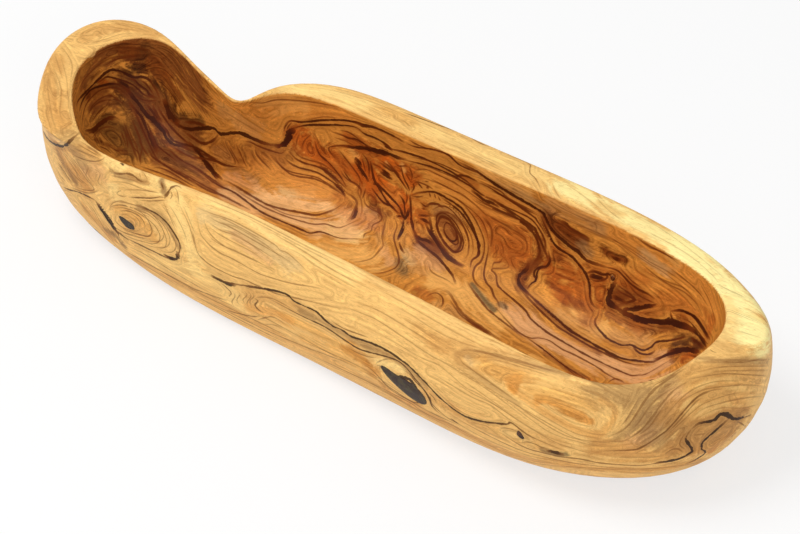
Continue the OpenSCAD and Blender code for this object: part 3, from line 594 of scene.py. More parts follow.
NOSE_VEINS = [
    (0.4, 0.6, [(697, 357), (706, 359), (722, 360), (765, 360), (773, 357)]),
    (0.5, 0.35, [(708, 347), (712, 351), (717, 353)]),
    (0.4, 0.4, [(770, 366), (722, 367), (698, 372)]),
    (0.45, 0.4, [(768, 376), (735, 374), (720, 374), (695, 378), (685, 381)]),
    (0.4, 0.4, [(763, 386), (745, 385), (728, 386), (712, 388), (700, 391), (680, 402), (672, 410)]),
    (0.65, 0.55, [(722, 389), (710, 391), (694, 400), (670, 427), (662, 434), (642, 447), (630, 450),
        (600, 451)]),
    (0.5, 0.4, [(704, 397), (696, 402), (678, 422), (671, 429), (664, 434)]),
    (0.4, 0.4, [(765, 396), (745, 398), (725, 402), (705, 408), (695, 415), (688, 422)]),
    (0.35, 0.4, [(760, 404), (742, 408), (722, 408), (705, 414), (694, 421)]),
    (0.5, 0.6, [(690, 380), (670, 394), (646, 425), (630, 438), (618, 443)]),
    (0.5, 0.7, [(690, 365), (660, 385), (652, 392), (646, 399), (631, 422), (624, 429), (615, 434),
        (604, 438)]),
    (0.45, 0.5, [(665, 404), (650, 426), (636, 437)]),
    (0.4, 0.4, [(678, 386), (668, 391), (658, 398), (650, 406), (638, 423), (630, 431)]),
    (0.97, 1.4, [(752, 415), (737, 419), (730, 417), (725, 414), (720, 414), (715, 419), (708, 422),
        (700, 423), (694, 427), (690, 431)]),
    (0.95, 1.1, [(692, 429), (688, 434), (686, 440), (692, 450), (688, 454), (683, 457), (675, 460),
        (650, 464)]),
    (0.95, 1.0, [(730, 418), (706, 439), (702, 444), (702, 449), (705, 453), (693, 461), (684, 464)]),
    (0.6, 0.4, [(730, 424), (738, 422), (748, 428)]),
    (0.5, 0.8, [(664, 455), (671, 450), (678, 449), (684, 453)]),
    (0.5, 0.5, [(688, 431), (682, 438), (680, 445), (686, 450)]),
    (0.4, 0.4, [(735, 428), (728, 436), (712, 451)]),
    (0.4, 0.4, [(740, 432), (732, 441), (722, 450), (712, 457)]),
    (0.5, 0.35, [(688, 362), (680, 369), (664, 380), (655, 385), (648, 392)]),
    (0.45, 0.3, [(640, 396), (626, 420), (618, 428)]),
    (0.5, 0.3, [(764, 358), (745, 362), (722, 362), (708, 363)]),
    (0.4, 0.3, [(769, 370), (724, 371), (708, 373)]),
    (0.4, 0.3, [(740, 381), (720, 381), (706, 384), (694, 389), (684, 396), (674, 406), (658, 425)]),
    (0.4, 0.3, [(748, 391), (728, 395), (710, 401), (696, 409), (664, 438), (652, 447)]),
    (0.4, 0.3, [(610, 457), (652, 457), (668, 454)]),
]
SAWN_TOP_VEINS = [
    (0.35, 0.5, [(58, 44), (64, 50), (69, 57), (72, 65), (72, 72), (70, 84)]),
    (0.3, 0.4, [(50, 60), (60, 84), (61, 98), (60, 112), (64, 125)]),
    (0.3, 0.4, [(46, 76), (50, 105), (53, 120), (58, 134)]),
    (0.3, 0.4, [(60, 55), (64, 68), (67, 82), (69, 108), (72, 120)]),
    (0.3, 0.4, [(54, 52), (63, 80)]),
    (0.4, 0.4, [(93, 33), (97, 31), (102, 34)]),
    (0.35, 0.4, [(82, 40), (95, 42), (122, 34), (138, 34)]),
    (0.3, 0.4, [(110, 23), (140, 29), (152, 33)]),
    (0.3, 0.4, [(84, 34), (98, 28), (112, 27), (144, 32)]),
    (0.7, 0.4, [(400, 111), (460, 133), (480, 143), (490, 147)]),
    (0.55, 0.4, [(505, 154), (528, 163), (530, 168), (530, 173), (535, 178), (539, 185), (541, 191)]),
    (0.35, 0.4, [(552, 182), (555, 190), (560, 198), (567, 206)]),
    (0.3, 0.4, [(565, 184), (578, 192), (606, 213)]),
    (0.35, 0.35, [(596, 196), (602, 204), (612, 213), (624, 222)]),
    (0.3, 0.4, [(620, 208), (650, 222), (680, 242), (715, 270), (730, 285)]),
    (0.3, 0.4, [(635, 226), (660, 238), (690, 256), (712, 275), (724, 290)]),
    (0.35, 0.5, [(716, 284), (748, 299)]),
    (0.35, 0.4, [(398, 118), (404, 121), (412, 128)]),
    (0.3, 0.4, [(300, 86), (330, 90), (360, 98), (390, 109), (450, 135), (478, 150)]),
    (0.35, 0.4, [(440, 140), (465, 150), (510, 172)]),
    (0.3, 0.4, [(735, 330), (762, 338)]),
]
OUTER_VEINS = (
    LEFT_FLANK_VEINS + FLANK_LINES + DARK_LINE_VEINS + LOWER_EDGE_VEINS + NOSE_VEINS + SAWN_TOP_VEINS
)

# A tone is a soft brush stroke over the photograph: its colour, its strength, its radius in
# millimetres, and the points of its curve in picture pixels.
HOLLOW_TONES = [
    ("orange", 0.9, 9, [(205, 100), (240, 106), (275, 106), (310, 110), (345, 116)]),
    ("tan", 0.7, 7, [(222, 110), (256, 132)]),
    # Partly painted shade: this stroke darkens the left end's inner wall under its hooded rim, partly
    # darker heartwood, partly shade.
    ("chestnut", 0.95, 17, [(84, 78), (100, 56), (120, 46), (142, 46), (162, 56), (180, 70),
        (198, 88)]),
    ("amber", 0.7, 5, [(77, 94), (81, 76), (89, 62)]),
    ("russet", 0.8, 9, [(126, 52), (150, 64), (176, 94)]),
    ("russet", 0.8, 9, [(90, 98), (110, 86), (130, 92), (160, 126)]),
    ("umber", 0.7, 13, [(103, 122), (134, 146), (150, 142)]),
    ("chestnut", 0.85, 9, [(166, 148), (208, 168)]),
    ("chestnut", 0.85, 7, [(160, 160), (198, 180), (236, 197)]),
    # Painted shade: this stroke darkens the concave corner of the hollow's wall left of the notch,
    # where shade falls.
    ("soot", 0.7, 7, [(156, 92), (168, 112), (182, 122), (200, 124)]),
    # Partly painted shade: this stroke darkens the inner wall just under the hooded left end.
    ("soot", 0.45, 5, [(146, 48), (142, 58), (136, 68), (128, 70)]),
    ("chestnut", 0.8, 4, [(92, 108), (103, 101), (114, 104)]),
    ("rust", 0.9, 2.5, [(99, 82), (108, 81)]),
    ("amber", 0.95, 2.5, [(141, 80), (148, 84), (153, 90)]),
    ("rust", 0.8, 2.5, [(121, 91), (127, 95)]),
    ("rust", 0.7, 2, [(132, 106), (140, 120), (147, 136)]),
    ("russet", 0.6, 2.5, [(96, 140), (124, 152)]),
    ("rust", 0.6, 2, [(153, 130), (166, 144), (180, 152)]),
    ("orange", 0.8, 5, [(222, 174), (234, 180)]),
    ("tan", 0.6, 5, [(216, 152), (232, 158)]),
    ("orange", 0.95, 10, [(245, 172), (268, 166), (318, 188)]),
    # Partly painted highlight: the pink strokes on the hollow's floor paint its sheen as well as its
    # pinkish tone.
    ("sheen_blush", 0.95, 6, [(256, 195), (280, 202), (304, 207), (328, 206)]),
    ("ash", 0.5, 4, [(282, 190), (312, 193)]),
    # Partly painted highlight of the floor's sheen.
    ("sheen_blush", 0.8, 6, [(292, 219), (306, 222)]),
    # Partly painted highlight: this stroke paints the floor's sheen as well as its pinkish tone.
    ("rose", 0.9, 8, [(318, 226), (340, 226), (356, 232)]),
    ("gold", 0.95, 9, [(322, 247), (350, 253), (376, 262)]),
    ("rust", 0.95, 9, [(298, 134), (312, 150), (332, 158), (346, 172)]),
    ("rust", 0.95, 11, [(358, 172), (406, 206)]),
    ("rust", 0.9, 8, [(350, 142), (385, 160), (412, 176)]),
    ("russet", 0.8, 4, [(364, 162), (372, 170)]),
    ("russet", 0.7, 5, [(374, 206), (382, 215)]),
    ("orange", 0.8, 3, [(350, 152), (354, 160)]),
    ("orange", 0.6, 3, [(392, 184), (398, 190)]),
    ("amber", 0.8, 5, [(388, 225), (396, 233)]),
    ("tan", 0.8, 4, [(379, 236), (383, 246)]),
    ("rust", 0.9, 6, [(412, 200), (422, 214), (418, 232)]),
    ("chestnut", 0.85, 6, [(423, 243), (434, 248), (441, 257)]),
    ("chestnut", 0.9, 6, [(440, 216), (458, 246)]),
    ("smoke", 0.4, 4, [(434, 207), (446, 210), (458, 218)]),
    ("slate", 0.6, 5, [(401, 262), (405, 272)]),
    ("rose", 0.6, 4, [(385, 252), (390, 262)]),
    ("gold", 0.9, 6, [(480, 168), (505, 180), (530, 194)]),
    ("tan", 0.95, 7, [(548, 203), (575, 214), (600, 227)]),
    ("orange", 0.9, 8, [(618, 237), (650, 252), (680, 270), (705, 292), (716, 312)]),
    ("smoke", 0.4, 3, [(515, 190), (545, 204), (600, 226)]),
    ("smoke", 0.4, 3.5, [(640, 250), (656, 262), (672, 270)]),
    ("rust", 0.7, 4, [(484, 198), (505, 204), (524, 212)]),
    ("rust", 0.6, 3, [(462, 176), (476, 186)]),
    ("orange", 0.8, 9, [(590, 262), (630, 274), (660, 286), (690, 304)]),
    ("chestnut", 0.95, 8, [(551, 220), (566, 234), (582, 243)]),
    ("russet", 0.9, 5, [(606, 253), (624, 262)]),
    ("copper", 0.95, 13, [(486, 212), (504, 232), (520, 242)]),
    ("rust", 0.8, 8, [(502, 250), (520, 258)]),
    ("copper", 0.9, 9, [(556, 256), (568, 270), (580, 286), (586, 302)]),
    ("russet", 0.8, 4, [(548, 262), (560, 258)]),
    ("russet", 0.8, 3.5, [(540, 258), (528, 268), (522, 278), (524, 288)]),
    ("tan", 0.95, 7, [(560, 318), (580, 320), (598, 334)]),
    ("rust", 0.95, 6, [(597, 284), (603, 302)]),
    ("chestnut", 0.9, 5, [(610, 315), (632, 325), (650, 330)]),
    ("gold", 0.95, 5, [(603, 326), (608, 332)]),
    ("tan", 0.95, 6, [(616, 334), (632, 339), (646, 340)]),
    ("russet", 0.8, 5, [(664, 328), (684, 322)]),
    ("russet", 0.9, 7, [(613, 300), (630, 292), (642, 302)]),
    # Partly painted highlight: this band along the near side of the floor paints its sheen as well as
    # its pinkish tone.
    ("rose", 0.95, 9, [(512, 312), (540, 334), (570, 350), (604, 364), (640, 374), (664, 364)]),
    ("gold", 0.95, 8, [(436, 279), (452, 286), (468, 296), (500, 328)]),
    ("tan", 0.7, 4, [(414, 266), (424, 272)]),
    ("slate", 0.8, 2, [(472, 284), (480, 295), (494, 310)]),
    ("slate", 0.6, 2, [(500, 304), (506, 307)]),
    ("copper", 0.7, 4, [(418, 289), (428, 298)]),
    ("tan", 0.8, 5, [(438, 306), (462, 318)]),
    ("chestnut", 0.6, 3, [(474, 326), (486, 334)]),
    ("gold", 0.9, 4, [(500, 346), (520, 352), (542, 362)]),
    ("copper", 0.7, 4, [(560, 371), (590, 380)]),
    ("russet", 0.85, 5, [(674, 354), (690, 350), (702, 344)]),
    ("rust", 0.8, 3, [(683, 360), (694, 356)]),
    ("copper", 0.8, 5, [(706, 334), (712, 322)]),
    ("ember", 0.55, 8, [(362, 168), (380, 186), (396, 198), (404, 206)]),
    ("ember", 0.25, 6, [(300, 138), (314, 152), (330, 162)]),
    ("ember", 0.6, 5, [(384, 162), (398, 172), (408, 184)]),
    ("rust", 0.95, 7, [(550, 268), (556, 282), (564, 296)]),
    ("orange", 0.8, 5, [(288, 184), (318, 192), (337, 199)]),
    ("straw", 0.5, 6, [(330, 228), (346, 236), (360, 236)]),
    ("gold", 0.6, 2, [(386, 163), (389, 167)]),
    ("gold", 0.6, 2, [(402, 165), (404, 171)]),
    ("russet", 0.8, 5, [(419, 238), (437, 249)]),
    ("orange", 0.8, 3, [(412, 202), (420, 206)]),
    ("orange", 0.8, 2.5, [(409, 228), (410, 240)]),
    ("orange", 0.7, 2.5, [(390, 222), (391, 232)]),
    ("orange", 0.8, 2.5, [(418, 226), (424, 234)]),
    ("gold", 0.5, 3, [(352, 152), (356, 156)]),
    ("copper", 0.8, 4, [(392, 188), (398, 196)]),
    ("ash", 0.4, 4, [(405, 252), (410, 262)]),
    ("rose", 0.7, 5, [(416, 252), (426, 260), (440, 266)]),
    # Partly painted highlight of the floor's sheen.
    ("sheen_blush", 0.8, 6, [(346, 216), (340, 226), (350, 232)]),
    ("rose", 0.7, 4, [(362, 212), (374, 220), (366, 228)]),
    ("smoke", 0.5, 4, [(228, 168), (244, 174), (256, 180)]),
    ("rose", 0.6, 5, [(226, 176), (254, 188)]),
    ("smoke", 0.4, 4, [(240, 190), (262, 202), (286, 209)]),
    ("russet", 0.8, 4, [(540, 240), (541, 252), (538, 262), (530, 268), (522, 276), (520, 284)]),
    ("russet", 0.5, 7, [(552, 224), (560, 234), (578, 247)]),
    ("russet", 0.9, 5, [(562, 224), (584, 238)]),
    ("smoke", 0.7, 5, [(583, 245), (590, 256)]),
    ("smoke", 0.3, 5, [(500, 184), (540, 205), (560, 213), (600, 232)]),
    ("rust", 0.9, 6, [(566, 272), (574, 284), (580, 298)]),
    ("russet", 0.7, 3.5, [(606, 254), (616, 258), (624, 260)]),
    ("ash", 0.35, 6, [(646, 256), (656, 264), (664, 272)]),
    ("gold", 0.6, 5, [(666, 250), (676, 262)]),
    ("umber", 0.9, 5, [(676, 342), (690, 340), (698, 346)]),
    ("rust", 0.9, 4, [(682, 358), (688, 355)]),
    ("chestnut", 0.8, 3, [(536, 304), (550, 317), (566, 330), (582, 342), (600, 352)]),
    ("chestnut", 0.7, 3.5, [(546, 354), (570, 370), (582, 376)]),
    ("gold", 0.9, 3, [(573, 313), (581, 316)]),
    ("russet", 0.7, 4, [(616, 290), (622, 298), (642, 303)]),
    ("orange", 0.5, 5, [(384, 192), (396, 200)]),
    ("orange", 0.6, 3, [(345, 152), (350, 158)]),
    ("umber", 0.75, 15, [(128, 84), (150, 104), (168, 126), (192, 140)]),
    ("umber", 0.5, 10, [(138, 132), (165, 152), (198, 168)]),
    ("russet", 0.5, 8, [(215, 148), (250, 154), (290, 156)]),
    ("gold", 0.5, 8, [(262, 101), (300, 106)]),
    # Partly painted highlight of the floor's sheen.
    ("sheen_blush", 0.7, 8, [(226, 196), (286, 216), (318, 228)]),
    ("orange", 0.8, 8, [(438, 174), (466, 196), (530, 216)]),
    ("copper", 0.5, 6, [(340, 198), (352, 214), (376, 226)]),
    ("rust", 0.6, 8, [(584, 272), (615, 274), (644, 280)]),
    ("copper", 0.6, 8, [(582, 296), (590, 318)]),
    ("copper", 0.6, 8, [(640, 322), (668, 300), (704, 320)]),
    # Partly painted shade: this stroke darkens the concave corner of the hollow's wall left of the
    # notch, partly the wood's own brown.
    ("chestnut", 0.6, 9, [(156, 102), (170, 126), (196, 134)]),
]
OUTER_TONES = [
    ("tan", 0.6, 9, [(56, 60), (50, 85), (52, 110), (60, 128)]),
    ("tan", 0.5, 8, [(84, 40), (110, 28), (140, 30), (152, 36)]),
    ("tan", 0.5, 5, [(62, 92), (60, 112), (64, 124)]),
    ("tan", 1.0, 12, [(58, 148), (68, 166), (84, 182)]),
    ("tan", 0.6, 6, [(66, 150), (80, 152), (96, 156)]),
    ("smoke", 0.6, 4, [(58, 152), (66, 168), (76, 182)]),
    ("rose", 0.6, 6, [(86, 172), (98, 170), (104, 178)]),
    ("straw", 0.8, 7, [(112, 160), (152, 182), (176, 183)]),
    ("straw", 0.8, 6, [(104, 190), (116, 191), (108, 200)]),
    ("tan", 0.6, 9, [(124, 218), (150, 234)]),
    ("tan", 0.7, 7, [(86, 208), (110, 236)]),
    ("smoke", 0.8, 3, [(106, 230), (116, 236), (124, 246)]),
    ("straw", 0.8, 8, [(176, 206), (186, 232), (190, 250), (196, 268)]),
    ("straw", 0.5, 10, [(150, 262), (185, 270), (215, 282), (235, 300)]),
    ("ash", 0.6, 8, [(205, 216), (228, 226), (250, 238), (292, 266)]),
    ("rose", 0.5, 4, [(234, 236), (270, 262)]),
    ("smoke", 0.15, 5, [(236, 228), (262, 244), (286, 262)]),
    ("straw", 0.6, 8, [(212, 200), (262, 224), (352, 272)]),
    ("gold", 0.7, 6, [(285, 318), (312, 331), (336, 344)]),
    ("amber", 0.8, 4, [(345, 350), (358, 358), (370, 368)]),
    ("orange", 0.5, 5, [(250, 308), (272, 314), (290, 322)]),
    ("smoke", 0.6, 3, [(300, 311), (325, 323), (345, 336), (395, 359), (425, 386)]),
    ("straw", 0.8, 3, [(378, 362), (390, 364), (402, 371)]),
    ("tan", 0.7, 3, [(382, 384), (392, 394), (408, 402), (420, 403)]),
    ("tan", 0.4, 6, [(420, 330), (445, 346)]),
    ("tan", 0.5, 6, [(430, 396), (456, 410)]),
    ("smoke", 0.5, 3, [(458, 354), (476, 352), (516, 361), (566, 375)]),
    ("smoke", 0.35, 3, [(457, 357), (465, 366), (518, 403)]),
    ("ash", 0.8, 2.5, [(467, 359), (471, 363)]),
    ("gold", 0.8, 6, [(484, 364), (500, 370), (520, 374)]),
    ("orange", 0.8, 3.5, [(510, 382), (518, 380), (513, 388)]),
    ("orange", 0.4, 3, [(512, 390), (566, 424), (596, 434), (612, 424), (614, 408), (600, 400)]),
    ("orange", 0.8, 3.5, [(538, 400), (552, 403), (588, 421)]),
    ("amber", 0.5, 2.5, [(560, 410), (570, 416), (580, 420)]),
    ("gold", 0.6, 6, [(530, 388), (560, 395), (590, 404)]),
    ("straw", 0.8, 4, [(505, 432), (514, 436), (530, 441)]),
    ("slate", 0.8, 2.5, [(543, 450), (556, 454), (566, 454)]),
    ("tan", 0.6, 9, [(690, 376), (730, 372), (758, 380)]),
    ("tan", 0.6, 9, [(690, 392), (700, 396), (735, 398), (745, 410)]),
    ("rose", 0.8, 8, [(676, 396), (650, 434), (632, 446)]),
    ("tan", 0.8, 10, [(600, 448), (636, 454), (662, 456), (686, 448)]),
    ("smoke", 0.5, 5, [(672, 380), (656, 392), (647, 402), (630, 426), (616, 436)]),
    ("smoke", 0.4, 3, [(662, 402), (654, 412), (648, 422), (640, 430)]),
    ("copper", 0.8, 4, [(727, 434), (718, 442), (712, 450)]),
    ("orange", 0.8, 3.5, [(698, 430), (696, 440), (698, 448)]),
    ("smoke", 0.7, 4, [(688, 436), (682, 446), (672, 452)]),
    # Partly painted shade: these two strokes darken a strip along the bottom edge of the flank, where
    # it turns under, over its own tone.
    ("tan", 0.5, 4, [(130, 256), (200, 294), (340, 366), (400, 398)]),
    ("tan", 0.7, 5, [(410, 404), (500, 450), (560, 464), (640, 470), (700, 462)]),
    # Partly painted light: these two strokes make the sawn top toward the right end lighter, where
    # light falls brightest, over its pale wood.
    ("lit_cream", 1.0, 15, [(690, 250), (716, 276), (742, 306), (760, 336)]),
    ("lit_cream", 0.8, 8, [(560, 186), (600, 202), (640, 222), (680, 245)]),
    ("straw", 0.9, 7, [(290, 88), (330, 93), (362, 104)]),
    ("straw", 0.6, 6, [(420, 126), (470, 148), (545, 178)]),
    ("gold", 0.5, 4, [(386, 110), (416, 124)]),
    ("gold", 0.5, 4, [(600, 203), (612, 210), (622, 214)]),
    # Partly painted light: this stroke lightens the right end's sawn top, where light falls brightest.
    ("straw", 0.7, 6, [(726, 300), (730, 318), (724, 335)]),
    ("smoke", 0.5, 2.5, [(700, 359), (735, 361), (768, 361)]),
    ("smoke", 0.6, 3, [(112, 172), (118, 176), (146, 183)]),
    ("smoke", 0.9, 3, [(162, 182), (164, 190)]),
    ("smoke", 0.6, 3, [(138, 205), (155, 213), (166, 222), (179, 246)]),
    ("amber", 0.8, 7, [(352, 350), (372, 370)]),
    ("gold", 0.6, 5, [(118, 210), (136, 216), (150, 230), (156, 240)]),
    ("smoke", 0.6, 12, [(600, 388), (622, 394), (645, 402), (650, 422), (660, 438)]),
    ("tan", 0.9, 13, [(674, 418), (702, 426), (738, 416)]),
    ("tan", 0.9, 10, [(680, 446), (706, 444), (730, 432)]),
    ("smoke", 0.4, 12, [(646, 418), (676, 428), (706, 434), (736, 422)]),
    ("tan", 0.5, 10, [(440, 344), (470, 354), (500, 362), (528, 372)]),
    ("tan", 0.4, 9, [(460, 414), (490, 428), (524, 440), (556, 446)]),
    ("tan", 0.5, 7, [(248, 292), (270, 300), (292, 306)]),
    ("gold", 0.6, 6, [(305, 340), (330, 350), (360, 364)]),
    ("smoke", 0.5, 8, [(64, 136), (84, 164)]),
    ("tan", 0.5, 7, [(92, 178), (104, 190), (110, 204)]),
    ("tan", 0.5, 5, [(128, 172), (146, 180)]),
]

# The hidden sides show the log's year rings: the pith that they run round, and buried branches that
# push them out, each with its place and reach in millimetres and the height of its push.
PITH_Y, PITH_Z = 4 * MM, 104 * MM
BRANCHES = [
    ((60, 68, 38), 17, 16),
    ((-30, 58, 22), 12, 11),
    ((150, 62, 50), 9, 8),
    ((-170, 40, 45), 13, 12),
    ((20, 10, 0), 22, 15),
    ((-110, -20, 0), 14, 11),
    ((120, -10, 0), 12, 9),
    ((70, -48, 40), 15, 12),
    ((-60, -46, 45), 12, 10),
]


def srgb(code):
    """Linear colour of a six-digit sRGB code, by the formula of that standard."""
    parts = np.array([int(code[i : i + 2], 16) for i in (0, 2, 4)]) / 255
    return np.where(parts <= 0.04045, parts / 12.92, ((parts + 0.055) / 1.055) ** 2.4)


def new_object(name, data):
    made = bpy.data.objects.new(name, data)
    scene.collection.objects.link(made)
    return made


def apply_modifier(obj, kind, **settings):
    """Gives the object one modifier and makes its result the object's mesh."""
    modifier = obj.modifiers.new(kind.lower(), kind)
    for key, value in settings.items():
        setattr(modifier, key, value)
    graph = bpy.context.evaluated_depsgraph_get()
    mesh = bpy.data.meshes.new_from_object(obj.evaluated_get(graph))
    obj.modifiers.remove(modifier)
    obj.data = mesh


def boolean(obj, cutter, operation):
    apply_modifier(obj, "BOOLEAN", operation=operation, object=cutter, solver="MANIFOLD")
    bpy.data.objects.remove(cutter)


def corners(mesh):
    found = np.empty(len(mesh.vertices) * 3)
    mesh.vertices.foreach_get("co", found)
    return found.reshape(-1, 3)


def normals(mesh):
    found = np.empty(len(mesh.vertices) * 3)
    mesh.vertex_normals.foreach_get("vector", found)
    return found.reshape(-1, 3)


def unit(vectors):
    """Each row as a direction, and rows of nothing left as they are."""
    return vectors / np.maximum(np.linalg.norm(vectors, axis=1), TINY)[:, None]


def cad_copy(node):
    """Closed mesh of a CAD node, with its seams welded."""
    work = bmesh.new()
    work.from_mesh(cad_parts[node].data)
    bmesh.ops.remove_doubles(work, verts=work.verts, dist=WELD)
    mesh = bpy.data.meshes.new(node + "_copy")
    work.to_mesh(mesh)
    work.free()
    return mesh


def knot_axis(mesh):
    """Direction out of the wood: away from the knot's flat bottom, its largest flat side."""
    sides = {}
    for face in mesh.polygons:
        sides.setdefault(tuple(round(x, NORMAL_DIGITS) for x in face.normal), []).append(face)
    bottom = max(sides.values(), key=lambda faces: sum(face.area for face in faces))
    area = sum(face.area for face in bottom)
    return -np.array(sum((face.normal * face.area for face in bottom), Vector())) / area


def knot_block(node, side, rise):
    """The knot's block, grown sideways and raised out of the wood above its foot."""
    mesh = cad_copy(node)
    axis = knot_axis(mesh)
    at = corners(mesh)
    middle = (at.min(0) + at.max(0)) / 2
    height = (at - middle) @ axis
    across = at - middle - height[:, None] * axis
    reach = np.linalg.norm(across, axis=1)
    across *= (1 + side / np.maximum(reach, MM))[:, None]
    height += np.where(height > height.min() + KNOT_FOOT_SHARE * np.ptp(height), rise, 0)
    at = middle + height[:, None] * axis + across
    mesh.vertices.foreach_set("co", at.ravel())
    return new_object(node + "_block", mesh)


box_low, box_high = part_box(BODY)


def whole_skin():
    """The bowl with its knots as one dense closed skin, inside the CAD's box."""
    work = bmesh.new()
    work.from_mesh(cad_copy(BODY))
    for node in KNOT_COLOURS:
        block = knot_block(node, KNOT_OVERLAP, 0)
        work.from_mesh(block.data)
        bpy.data.objects.remove(block)
    mesh = bpy.data.meshes.new("skin")
    work.to_mesh(mesh)
    work.free()
    made = new_object("skin", mesh)
    apply_modifier(made, "REMESH", mode="VOXEL", voxel_size=VOXEL)
    apply_modifier(made, "SMOOTH", factor=SMOOTH_FACTOR, iterations=SMOOTH_PASSES)
    inside = np.clip(corners(made.data), box_low, box_high)
    made.data.vertices.foreach_set("co", inside.ravel())
    return made


skin = whole_skin()
tree = BVHTree.FromObject(skin, bpy.context.evaluated_depsgraph_get())

# The hollow in plan is found on slices across the bowl, just under the sawn rim.
SLICE_STEP, SLICE_DEPTH = 1 * MM, 1 * MM
PAST_SKIN = 0.01 * MM


def hollow_slice(x):
    """Span of the hollow on a slice: the inner two of the four faces that it meets, or an empty one."""
    crossings = []
    start = Vector((x, box_low.y - MM, box_high.z - SLICE_DEPTH))
    while hit := tree.ray_cast(start, Vector((0, 1, 0)))[0]:
        crossings.append(hit.y)
        start = hit + Vector((0, PAST_SKIN, 0))
    return crossings[1:3] if len(crossings) == 4 else (np.inf, -np.inf)


slice_x = np.arange(box_low.x, box_high.x, SLICE_STEP)
slice_low, slice_high = np.transpose([hollow_slice(x) for x in slice_x])
LOWEST_IN_HOLLOW, STEEPEST_IN_HOLLOW = 5 * MM, -0.2


def in_hollow(at, out):
    """True for each place that lies on the wall or floor of the hollow."""
    low, high = np.interp(at[:, 0], slice_x, slice_low), np.interp(at[:, 0], slice_x, slice_high)
    between = (at[:, 1] > low) & (at[:, 1] < high)
    return between & (out[:, 2] > STEEPEST_IN_HOLLOW) & (at[:, 2] > LOWEST_IN_HOLLOW)


azimuth, elevation = math.radians(CAMERA_AZIMUTH), math.radians(CAMERA_ELEVATION)
view_back = Vector((
    math.sin(azimuth) * math.cos(elevation),
    -math.cos(azimuth) * math.cos(elevation),
    math.sin(elevation),
))
view_right = Vector((math.cos(azimuth), math.sin(azimuth), 0))
view_up = view_back.cross(view_right)
camera_place = CAMERA_TARGET + view_back * CAMERA_DISTANCE
focal_pixels = FOCAL_LENGTH * PICTURE_WIDTH / SENSOR_WIDTH


def view_ray(x, y):
    """Direction from the camera through a picture pixel."""
    across = float(x - PICTURE_WIDTH / 2) / focal_pixels
    down = float(y - PICTURE_HEIGHT / 2) / focal_pixels
    return (across * view_right - down * view_up - view_back).normalized()


# Pixels from one place of a line to the next, the jump that breaks a line, and the fewest places that
# make one
CURVE_STEP = 1.5
LONGEST_JUMP = 8 * MM
FEWEST_PLACES = 4


def smooth_line(points):
    """Points of a smooth curve through these pixels, about CURVE_STEP pixels apart."""
    p = np.array(points, float)
    ends = np.vstack([2 * p[0] - p[1], p, 2 * p[-1] - p[-2]])
    if np.array_equal(p[0], p[-1]):
        ends[0], ends[-1] = p[-2], p[1]
    made = []
    for a, b, c, d in zip(ends, ends[1:], ends[2:], ends[3:]):
        count = max(int(np.linalg.norm(c - b) / CURVE_STEP), 1)
        for t in np.arange(count) / count:
            bend = (c - a) * t + (2 * a - 5 * b + 4 * c - d) * t**2 + (3 * b - a - 3 * c + d) * t**3
            made.append(b + bend / 2)
    return np.array(made + [p[-1]])


def lifted(points, hollow):
    """Runs of places and normals on the skin under a line of pixels."""
    runs, run = [], []
    for x, y in smooth_line(points):
        place, out = tree.ray_cast(camera_place, view_ray(x, y))[:2]
        good = place is not None and in_hollow(np.array([place]), np.array([out]))[0] == hollow
        if run and (not good or (place - run[-1][0]).length > LONGEST_JUMP):
            runs.append(run)
            run = []
        if good:
            run.append((place, out))
    runs.append(run)
    return [np.array(run) for run in runs if len(run) >= FEWEST_PLACES]


# A vein whose ends meet is a ring. Any other vein thins and fades out toward its ends.
RING_CLOSES = 2 * MM
TAPER_SHARE, LEAST_TAPER, THINNEST_SHARE = 0.2, 1 * MM, 0.4


def taper_of(place, travelled):
    """Strength of a vein along its places: 1, and less toward the ends of a vein that isn't a ring."""
    if np.linalg.norm(place[0] - place[-1]) < RING_CLOSES:
        return np.ones(len(place))
    from_end = np.minimum(travelled - travelled[0], travelled[-1] - travelled)
    return np.sqrt(np.clip(from_end / (TAPER_SHARE * travelled[-1] + LEAST_TAPER), 0, 1))


def vein_samples(veins, hollow):
    """Each vein as samples: place, tangent, sideways direction, darkness and half width."""
    found = []
    for dark, half_width, points in veins:
        for run in lifted(points, hollow):
            place, out = run[:, 0], run[:, 1]
            step = np.gradient(place, axis=0)
            taper = taper_of(place, np.cumsum(np.linalg.norm(step, axis=1)))
            along = unit(step)
            width = half_width * MM * (THINNEST_SHARE + (1 - THINNEST_SHARE) * taper)
            found.append(np.column_stack([place, along, np.cross(along, out), dark * taper, width]))
    return found


# Veins closer than this go to different groups where they can, so that each draws its own line.
GROUPS = "abcde"
CLOSE = 3 * MM


def shared_out(veins):
    """Samples of the veins in groups, chosen so that close neighbours are in different groups."""
    cells, rows = [set() for _ in GROUPS], [[] for _ in GROUPS]
    for vein in veins:
        around = {
            tuple(cell + step)
            for cell in np.unique(np.floor(vein[:, :3] / CLOSE).astype(int), axis=0)
            for step in product((-1, 0, 1), repeat=3)
        }
        best = min(range(len(GROUPS)), key=lambda i: len(around & cells[i]))
        cells[best] |= around
        rows[best].append(vein)
    return [np.vstack(group) for group in rows]


# A vein's line reaches a few half widths out, and a little past its ends. The wood beside it is
# stained softly, farther on the side that its sideways direction points to. What a place gets from a
# group is five numbers and the three of a tangent.
FARTHEST = 8 * MM
REACH_IN_WIDTHS, LEAST_REACH = 3, 1.6 * MM
SHADE_BEFORE, SHADE_BEHIND = 1.4 * MM, 0.8 * MM
END_LENGTH = 1 * MM
FIELD_COUNT = 8


